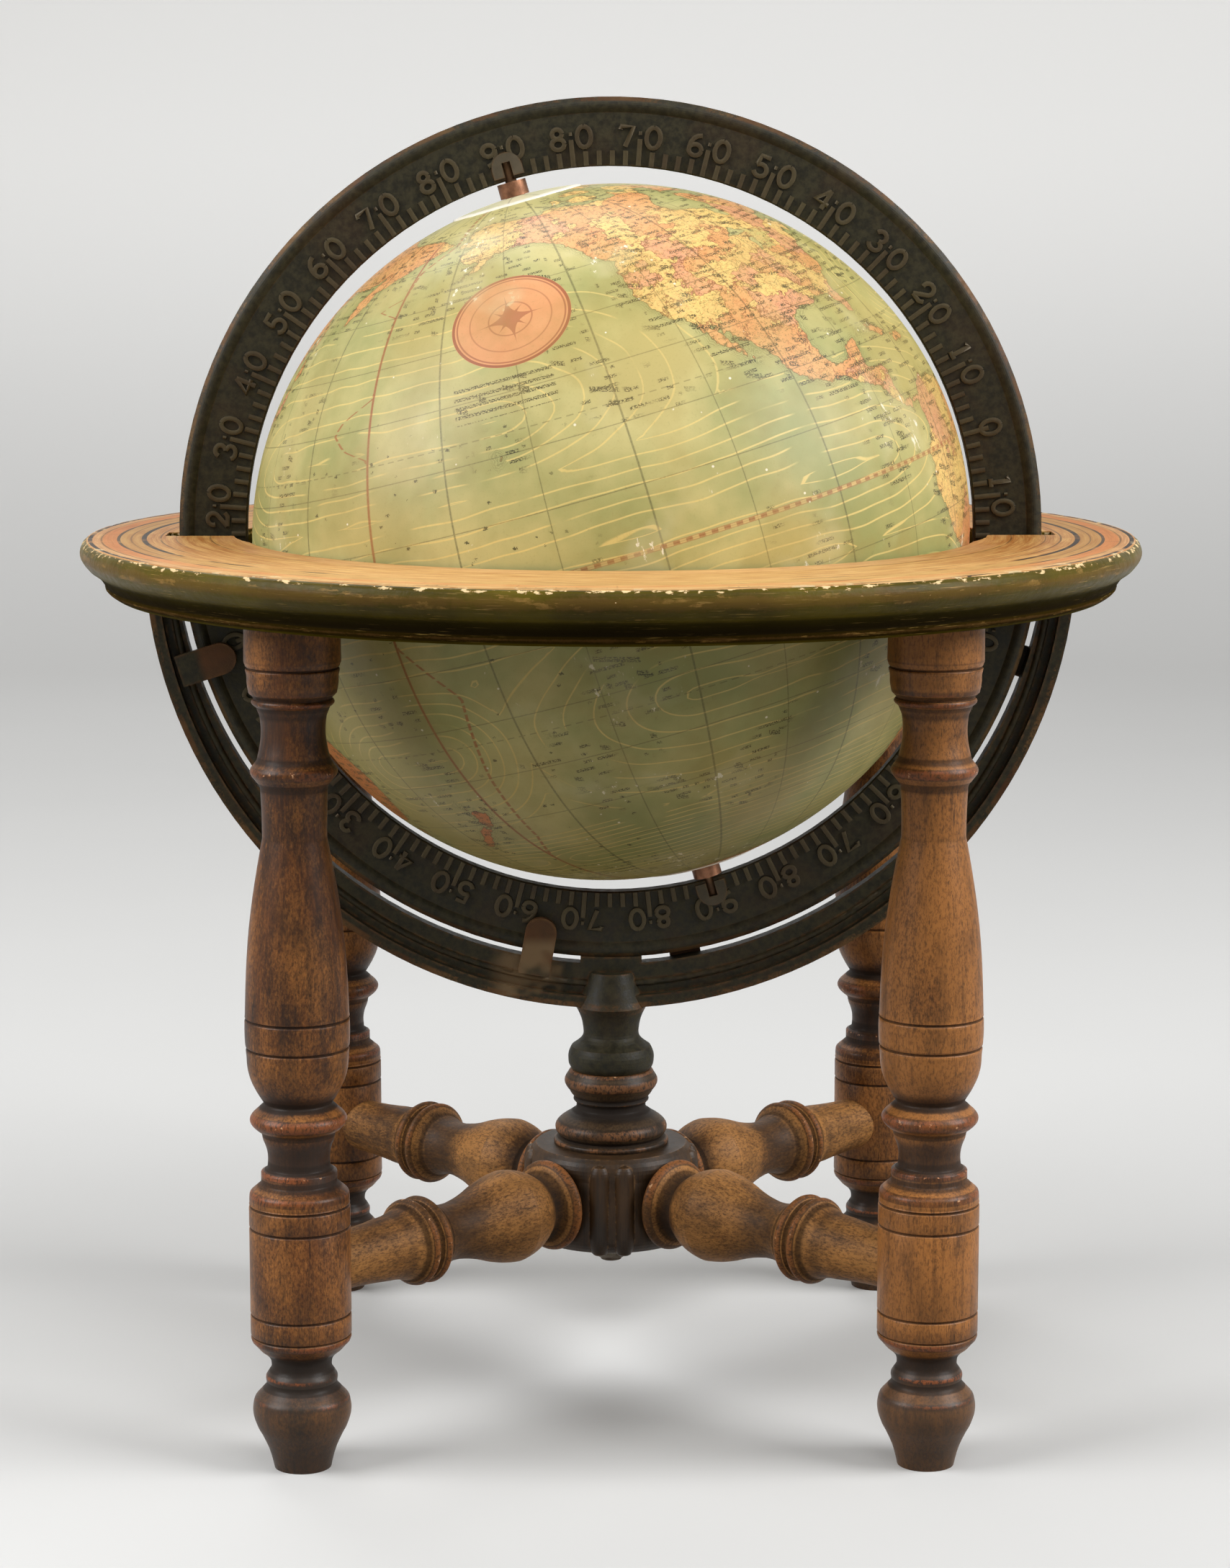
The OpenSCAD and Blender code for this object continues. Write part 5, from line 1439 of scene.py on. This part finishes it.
    YEZO = "140.3,41.7 141.7,45.4 145.5,43.3 143,42"
    HONSHU = (
        "130.5,31.5 130,33.5 135.5,35.6 138.5,37.2 140,39.5 141,41.4 141.8,39.5 140.8,35.7 137,34.6 "
        "132,33.2")
    LUZON = "120.5,16 121,18.5 122.3,18.3 124,13 120.8,13.8"
    MINDANAO = "122,7 125.5,9.8 126.5,7 124,6"
    BORNEO = "109,1.5 113,3.2 117,7 119,5 117.8,1 116,-4 110.5,-2.8"
    SUMATRA = "95.3,5.6 100,2.4 106,-3 105.7,-5.8 102,-4 97.5,1.5"
    JAVA = "105.2,-6.4 110.5,-6.4 114.5,-7.5 114.3,-8.7 108,-7.8"
    CELEBES = "119.3,-5.5 119.5,0.7 125,1.6 121,0 123,-4 121,-2.8"
    NEW_GUINEA = (
        "131,-0.8 135,-3.3 138,-1.6 144.5,-3.9 147.8,-6 150.7,-10.5 146,-8.7 143,-9 138,-8.3 138,-5.5 "
        "133,-4")
    CEYLON = "79.8,8.9 81.3,8.5 80.7,6"
    AUSTRALIA = (
        "113.7,-22.5 114,-26 115.8,-32 115,-34.3 118,-35 124,-33 129,-31.6 132,-32 135.5,-34.8 138,-33.5 "
        "138,-35.6 140.5,-38 144,-38.5 147,-38.6 150,-37.5 153,-31.5 153.3,-27 150.8,-23.3 146,-19 "
        "145.3,-15 142.5,-10.8 141.5,-13.5 140.8,-17.5 136.8,-15.8 136.5,-12.3 132.5,-11.5 130,-13 "
        "129,-15 126,-14 122.2,-18 117,-20.7")
    TASMANIA = "144.7,-40.8 148.2,-40.9 147,-43.5"
    NORTH_ISLAND = "172.8,-34.5 175,-36.5 178.5,-37.7 177,-39.6 175.3,-41.6 173.8,-39.3 174.7,-37.5"
    SOUTH_ISLAND = "172.7,-40.6 174.2,-41.7 171,-44.7 169,-46.6 166.5,-46 170,-43"
    HAWAII = "-155.9,20.3 -154.9,19.5 -155.7,18.9"
class Lake(Enum):
    """Inland waters, in the same terms."""

    CASPIAN = "50,45 53,46.5 53.5,40.5 51,37 49,40"
    SUPERIOR = "-92,46.8 -88,48.8 -84.7,46.8 -87.5,46.4"
    MICHIGAN = "-87.8,42 -87.3,44.5 -85.4,45.8 -86.4,42.2"
    VICTORIA_NYANZA = "31.8,-2.4 32,0.4 34,0.2 33.6,-2.4"
@dataclass
class Gyre:
    """A spine round which an ocean current turns, and how far off its main line lies, in degrees."""

    west: float
    east: float
    lat: float
    side: float
    north: float
    south: float

    def flow(self, lon: np.ndarray, lat: np.ndarray) -> np.ndarray:
        """How far out each place lies, 1 on the main line."""
        middle = (self.west + self.east) / 2
        along = np.abs((lon - middle + 180) % 360 - 180) - (self.east - self.west) / 2
        up = lat - self.lat
        return np.hypot(np.maximum(along, 0) / self.side, up / np.where(up > 0, self.north, self.south))


@dataclass
class Globe:
    """The printed ball with its pole discs, collars and pins."""

    pole_mm: float = 97.84
    lean_deg: float = 15.8
    facing_lon: float = -142.7
    print_shift_deg: float = 1.4
    disc_deg: float = 10.7
    disc_mm: float = 0.4
    spigot_mm: float = 2.75
    step_deg: float = 1.0
    ice_edge: str = (
        "-180,-78 -150,-77 -130,-74 -100,-73 -75,-72 -62,-66 -57,-64 -55,-72 -40,-78 -20,-73 0,-70 40,-68 "
        "55,-66.5 75,-69 90,-66.5 130,-66 150,-68.5 165,-71.5 168,-77.5 180,-78")
    date_line: str = (
        "-52,180 -45,183.5 -30,185 -15,188 -5,180 24.5,180 27,174 30,171 32,173 35,180 50,180 52.5,172 "
        "54,180 60,181 66,191 90,191")
    gyres: tuple[Gyre, ...] = (
        Gyre(155, 205, 26, 30, 17, 12), Gyre(170, 265, 3, 30, 13, 12), Gyre(225, 268, -24, 31, 15, 16),
        Gyre(165, 180, -25, 14, 11, 13), Gyre(-60, -35, 28, 14, 12, 9), Gyre(-22, -2, -22, 16, 11, 12),
        Gyre(65, 85, -22, 18, 10, 13), Gyre(62, 78, 5, 14, 9, 7), Gyre(-40, -20, 58, 14, 6, 6),
        Gyre(-170, 170, -54, 30, 7, 8))

    def frame(self) -> np.ndarray:
        """Rows are the directions of longitude 0, longitude 90 and the north pole."""
        lean, facing = math.radians(self.lean_deg), math.radians(self.facing_lon)
        pole = np.array([-math.sin(lean), 0.0, math.cos(lean)])
        side = np.array([math.cos(lean), 0.0, math.sin(lean)])
        front = np.array([0.0, -1.0, 0.0])
        zero = front * math.cos(facing) - side * math.sin(facing)
        return np.stack([zero, np.cross(pole, zero), pole])

    def surface(self, lat: np.ndarray, lon: np.ndarray, lift: float) -> np.ndarray:
        """Points at a latitude and longitude of the ball, lifted off its surface, in millimetres."""
        half_axes = np.array([EQUATOR_MM, EQUATOR_MM, self.pole_mm]) + lift
        return (sphere(lat, lon) * half_axes) @ self.frame() + np.array([0.0, 0.0, CENTRE_Z_MM])

    @staticmethod
    def reach(shore: np.ndarray, lon: np.ndarray, lat: np.ndarray) -> np.ndarray:
        """Signed distance to a shore in degrees, above 0 inside it.

        Args:
            shore: Longitude and latitude of its corners.
            lon: Longitudes of the places asked for.
            lat: Their latitudes.

        Returns:
            One distance for each place.
        """
        middle = shore[:, 0].mean()
        x = middle + (lon - middle + 180) % 360 - 180
        narrow = np.maximum(np.cos(np.radians(lat)), 0.05)
        nearest = np.full(len(lat), 1e9)
        inside = np.zeros(len(lat), bool)
        for (x0, y0), (x1, y1) in zip(shore, np.roll(shore, -1, 0)):
            wx, wy = (x1 - x0) * narrow, y1 - y0
            px, py = (x - x0) * narrow, lat - y0
            t = np.clip((px * wx + py * wy) / (wx * wx + wy * wy + 1e-12), 0, 1)
            nearest = np.minimum(nearest, (px - t * wx) ** 2 + (py - t * wy) ** 2)
            crosses = (y0 > lat) != (y1 > lat)
            inside ^= crosses & (x < (x1 - x0) * (lat - y0) / (y1 - y0 if y1 != y0 else 1e-9) + x0)
        return np.sqrt(nearest) * np.where(inside, 1, -1)

    def lands(self, lon: np.ndarray, lat: np.ndarray) -> np.ndarray:
        """Signed distance to the nearest shore of any land, in degrees."""
        ice = places(self.ice_edge)
        land = np.interp(lon, ice[:, 0], ice[:, 1]) - lat
        for coast in Coast:
            land = np.maximum(land, self.reach(places(coast.value), lon, lat))
        for lake in Lake:
            land = np.minimum(land, -self.reach(places(lake.value), lon, lat))
        return land

    def tints(self, geo: np.ndarray) -> dict[str, np.ndarray]:
        """How deep inside each tint a place lies, in degrees, and inside every other country."""
        seeds, marks = [], []
        for tint in Tint:
            found = places(tint.value)
            seeds.append(found)
            marks += [tint] * len(found)
        lon, lat = np.concatenate(seeds).T
        spots = sphere(lat, lon)
        away = np.degrees(np.arccos(np.clip(geo @ spots.T, -1, 1)))
        groups = {tint.name.lower(): np.array([mark is tint for mark in marks]) for tint in Tint}
        groups.pop("yellow")
        groups["division"] = np.arange(len(marks)) % 2 == 0
        return {name: (away[:, ~group].min(1) - away[:, group].min(1)) / 2
                for name, group in groups.items()}

    def build(self) -> Iterable[bpy.types.Object]:
        """Makes the printed ball and both pole discs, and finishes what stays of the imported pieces.

        Yields:
            Each object that was made.
        """
        lat = np.arange(-90 + self.step_deg, 90, self.step_deg)
        lon = np.arange(-180, 180, self.step_deg)
        grid_lat, grid_lon = (a.ravel() for a in np.meshgrid(lat, lon, indexing="ij"))
        grid_lat = np.concatenate([grid_lat, [-90.0, 90.0]])
        grid_lon = np.concatenate([grid_lon, [0.0, 0.0]])
        printed = grid_lat - self.print_shift_deg * np.cos(np.radians(grid_lat))
        geo = sphere(printed, grid_lon)
        faces = quilt(len(lat), len(lon))
        low, high, last = len(grid_lat) - 2, len(grid_lat) - 1, (len(lat) - 1) * len(lon)
        for i in range(len(lon)):
            j = (i + 1) % len(lon)
            faces += [[low, j, i], [high, last + i, last + j]]
        bends = places(self.date_line)
        bent = np.interp(printed, bends[:, 0], bends[:, 1])
        flow = np.full(len(printed), 1e9)
        for gyre in self.gyres:
            flow = np.minimum(flow, gyre.flow(grid_lon, printed))
        net = flow[:-2].reshape(len(lat), len(lon))
        narrowing = np.cos(np.radians(lat))[:, None]
        east = (np.roll(net, -1, 1) - np.roll(net, 1, 1)) / (2 * self.step_deg * narrowing)
        steep = np.hypot(east, np.gradient(net, self.step_deg, axis=0)).ravel()
        layers = {"geo": geo, "land": self.lands(grid_lon, printed), "flow": flow,
                  "steep": np.concatenate([np.clip(steep, 0.02, 0.25), [0.2, 0.2]]),
                  "bend": ((grid_lon - bent + 180) % 360 - 180) * np.cos(np.radians(printed)),
                  **self.tints(geo)}
        finish = MapPrint("varnished_map", roughness=0.4, coat=0.2, coat_roughness=0.3, specular=0.24,
                          bump_mm=0.05)
        made = Skin("map_print", self.surface(grid_lat, grid_lon, 0.0), faces, layers).build(finish)
        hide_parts("map_gores")
        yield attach(made, "globe")
        for name, sign in (("north_disc", 1), ("south_disc", -1)):
            yield self.disc(name, sign)
        dress(PressedBoard("pressed_board", roughness=0.8), "north_shell", "south_shell", "shell_strip")
        copper = Metal("tarnished_copper", roughness=0.38, metallic=0.75)
        dress(copper, "north_collar", "south_collar", "keeper_screws")
        dark = Metal("dark_pin", roughness=0.5, metallic=0.5, bright=paint(156, 116, 82),
                     dull=paint(84, 66, 50))
        dress(dark, "north_pin", "south_pin")
        wood = Metal("plain_rod", roughness=0.7, bright=paint(188, 150, 104), dull=paint(150, 112, 72))
        dress(wood, "axis_rod")

    def disc(self, name: str, sign: int) -> bpy.types.Object:
        """Makes the round paper that covers the tips of the gores at one pole.

        Args:
            name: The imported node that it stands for.
            sign: 1 at the north pole, -1 at the south pole.

        Returns:
            The disc.
        """
        lon = np.arange(0, 360, 3.0)
        hole = math.degrees(math.asin(self.spigot_mm / EQUATOR_MM))
        ragged = np.array([noise.noise(Vector((math.cos(a) * 5, math.sin(a) * 5, sign)))
                           for a in np.radians(lon)])
        rows = ((hole, 0.0), (hole, 1.0), (4.0, 1.0), (7.0, 1.0), (9.5, 1.0), (self.disc_deg - 0.12, 0.9),
                (self.disc_deg, 0.0))
        corners, geo = [], []
        for polar, up in rows:
            spread = polar - (ragged * 0.25 + 0.12) * (polar > 9)
            lat = sign * (90 - spread)
            corners.append(self.surface(lat, lon, self.disc_mm * up - 0.05 * (up == 0)))
            geo.append(sphere(lat, lon))
        faces = quilt(len(rows), len(lon), closed=True)
        edge = np.repeat([polar for polar, _ in rows], len(lon))
        skin = Skin(name + "_print", np.concatenate(corners), faces,
                    {"geo": np.concatenate(geo), "relief": (edge - self.disc_deg) / 3 + 1})
        made = skin.build(PoleDisc("pole_paper", roughness=0.5, coat=0.1, bump_mm=0.05))
        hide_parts(name)
        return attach(made, "globe")


@dataclass(frozen=True)
class PoleDisc(Finish):
    """Sea-coloured paper with a rubbed white rim."""

    def looks(self, w: Wiring) -> dict[str, object]:
        """Wires the sea tint, a few thin lines and the white rim."""
        geo = w.layer("geo", "Vector")
        mottle = w.use(MOTTLE, {"Vector": w.stretch(geo, (EQUATOR_MM,) * 3), "Scale": 0.08})
        parts = w.parts(geo)
        lon = w.product(w.math("ARCTAN2", parts[1], parts[0]), DEGREES)
        narrowing = w.math("SQRT", w.inverse(w.product(parts[2], parts[2])))
        lines = w.step(w.product(w.near_multiple(lon, 30.0), narrowing), 0.2, 0.08)
        rim = w.step(w.sum(w.layer("relief"), w.product(mottle["Fine"], 0.14)), 0.5, 0.92)
        colour = w.coats(w.mix(mottle["Broad"], paint(196, 194, 150), paint(222, 212, 176)),
                         (paint(84, 76, 52), lines, 0.4), (paint(244, 238, 224), rim))
        return {"Base Color": colour, "Height": mottle["Fine"]}


@dataclass
class Studio:
    """A pale floor, soft light and the camera of the photograph."""

    camera_mm: tuple[float, float, float] = (-11.84, -1076.9, 345.8)
    turn_deg: float = 0.691
    down_deg: float = 9.085
    lens_mm: float = 87.38
    sweep: tuple[float, float, float] = (-8.0, 1.6, 1.1)
    half_width_m: float = 8.0
    wall_m: float = 3.4
    lamps: tuple[tuple[str, tuple[float, float, float], float, float], ...] = (
        ("right", (1.45, -0.5, 1.2), 36.0, 1.1), ("left", (-1.4, -0.5, 1.2), 30.0, 1.1),
        ("top", (0.2, -1.1, 1.75), 8.0, 1.0), ("back", (-0.4, 1.3, 1.7), 14.0, 1.1))

    def hang(self, name: str, place: tuple[float, float, float], watts: float, size: float) -> None:
        """Hangs a soft square lamp that looks at the globe."""
        light = bpy.data.lights.new(name, "AREA")
        light.energy, light.size = watts, size
        lamp = put(name, light)
        lamp.location = place
        lamp.rotation_euler = (Vector((0, 0, 0.2)) - Vector(place)).to_track_quat("-Z", "Y").to_euler()

    @staticmethod
    def seen(w: Wiring) -> Socket:
        """Wires a mask of the rays that show the background, straight or in a reflection."""
        path = w.add("LightPath").outputs
        return w.either(path["Is Camera Ray"], path["Is Glossy Ray"], path["Is Transmission Ray"])

    def build(self) -> None:
        """Sets the floor, the lights, the world and the camera."""
        front, back, bend = self.sweep
        turns = np.radians(np.linspace(0, 90, 25))
        path = [(front, 0.0)] + [(back + bend * math.sin(t), bend * (1 - math.cos(t))) for t in turns]
        path.append((back + bend, self.wall_m))
        mesh = bpy.data.meshes.new("floor")
        mesh.from_pydata([(side * self.half_width_m, y, z) for y, z in path for side in (-1, 1)], [],
                         [(2 * i, 2 * i + 1, 2 * i + 3, 2 * i + 2) for i in range(len(path) - 1)])
        mesh.polygons.foreach_set("use_smooth", np.ones(len(mesh.polygons), bool))
        material = bpy.data.materials.new("pale_floor")
        material.use_nodes = True
        w = Wiring(material.node_tree)
        place = w.add("TexCoord").outputs["Object"]
        height = w.parts(place)[2]
        soft = w.mix(w.noise(place, 2.0), paint(198, 198, 197), paint(206, 206, 205))
        wall = w.step(height, 0.0, 0.4)
        far = w.step(w.add("VectorMath", {0: place}, operation="LENGTH").outputs["Value"], 1.0, 3.4)
        soft = w.mix(wall, soft, paint(246, 246, 245))
        shader = w.add("BsdfPrincipled", {"Base Color": w.mix(self.seen(w), paint(126, 122, 113), soft),
                                          "Roughness": 0.8, "Specular IOR Level": 0.2,
                                          "Emission Color": (0.99, 0.985, 0.97, 1.0),
                                          "Emission Strength": w.product(self.seen(w), far, 0.34)})
        w.feed(w.add("OutputMaterial").inputs["Surface"], shader.outputs[0])
        mesh.materials.append(material)
        floor = put("floor", mesh)
        for lamp in self.lamps:
            self.hang(*lamp)
        world = bpy.data.worlds.new("studio")
        bpy.context.scene.world = world
        world.use_nodes = True
        w = Wiring(world.node_tree)
        strength = w.sum(0.13, w.product(self.seen(w), 0.47))
        back = w.add("Background", {"Color": (1.0, 0.985, 0.955, 1.0), "Strength": strength})
        w.feed(w.add("OutputWorld").inputs["Surface"], back.outputs[0])
        eye = bpy.data.cameras.new("camera")
        eye.lens, eye.sensor_width, eye.clip_end = self.lens_mm, 36.0, 50.0
        camera = put("camera", eye)
        camera.location = Vector(self.camera_mm) * MM
        turn, down = math.radians(self.turn_deg), math.radians(self.down_deg)
        look = Vector((math.sin(turn) * math.cos(down), math.cos(turn) * math.cos(down), -math.sin(down)))
        camera.rotation_euler = look.to_track_quat("-Z", "Y").to_euler()
        bpy.context.scene.camera = camera
        bpy.context.scene.view_settings.view_transform = "Standard"


def main() -> None:
    """Dresses the globe piece by piece and reports each one."""
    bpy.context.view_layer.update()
    for assembly in (Stand(), Horizon(), Graduation(), Globe()):
        for piece in assembly.build():
            log.info("%s: %d faces, rides on %s", piece.name, len(piece.data.polygons), piece["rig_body"])
    dress(CastIron("ring_iron", roughness=0.42, specular=0.22, bump_mm=0.08, guides_mm=114.5, proud_mm=3.0,
                   guide_tint=paint(100, 90, 75)), "meridian_ring", "north_keeper", "south_keeper")
    Studio().build()


logging.basicConfig(level=logging.INFO, format="%(message)s")
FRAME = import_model()

if __name__ == "__main__":
    main()
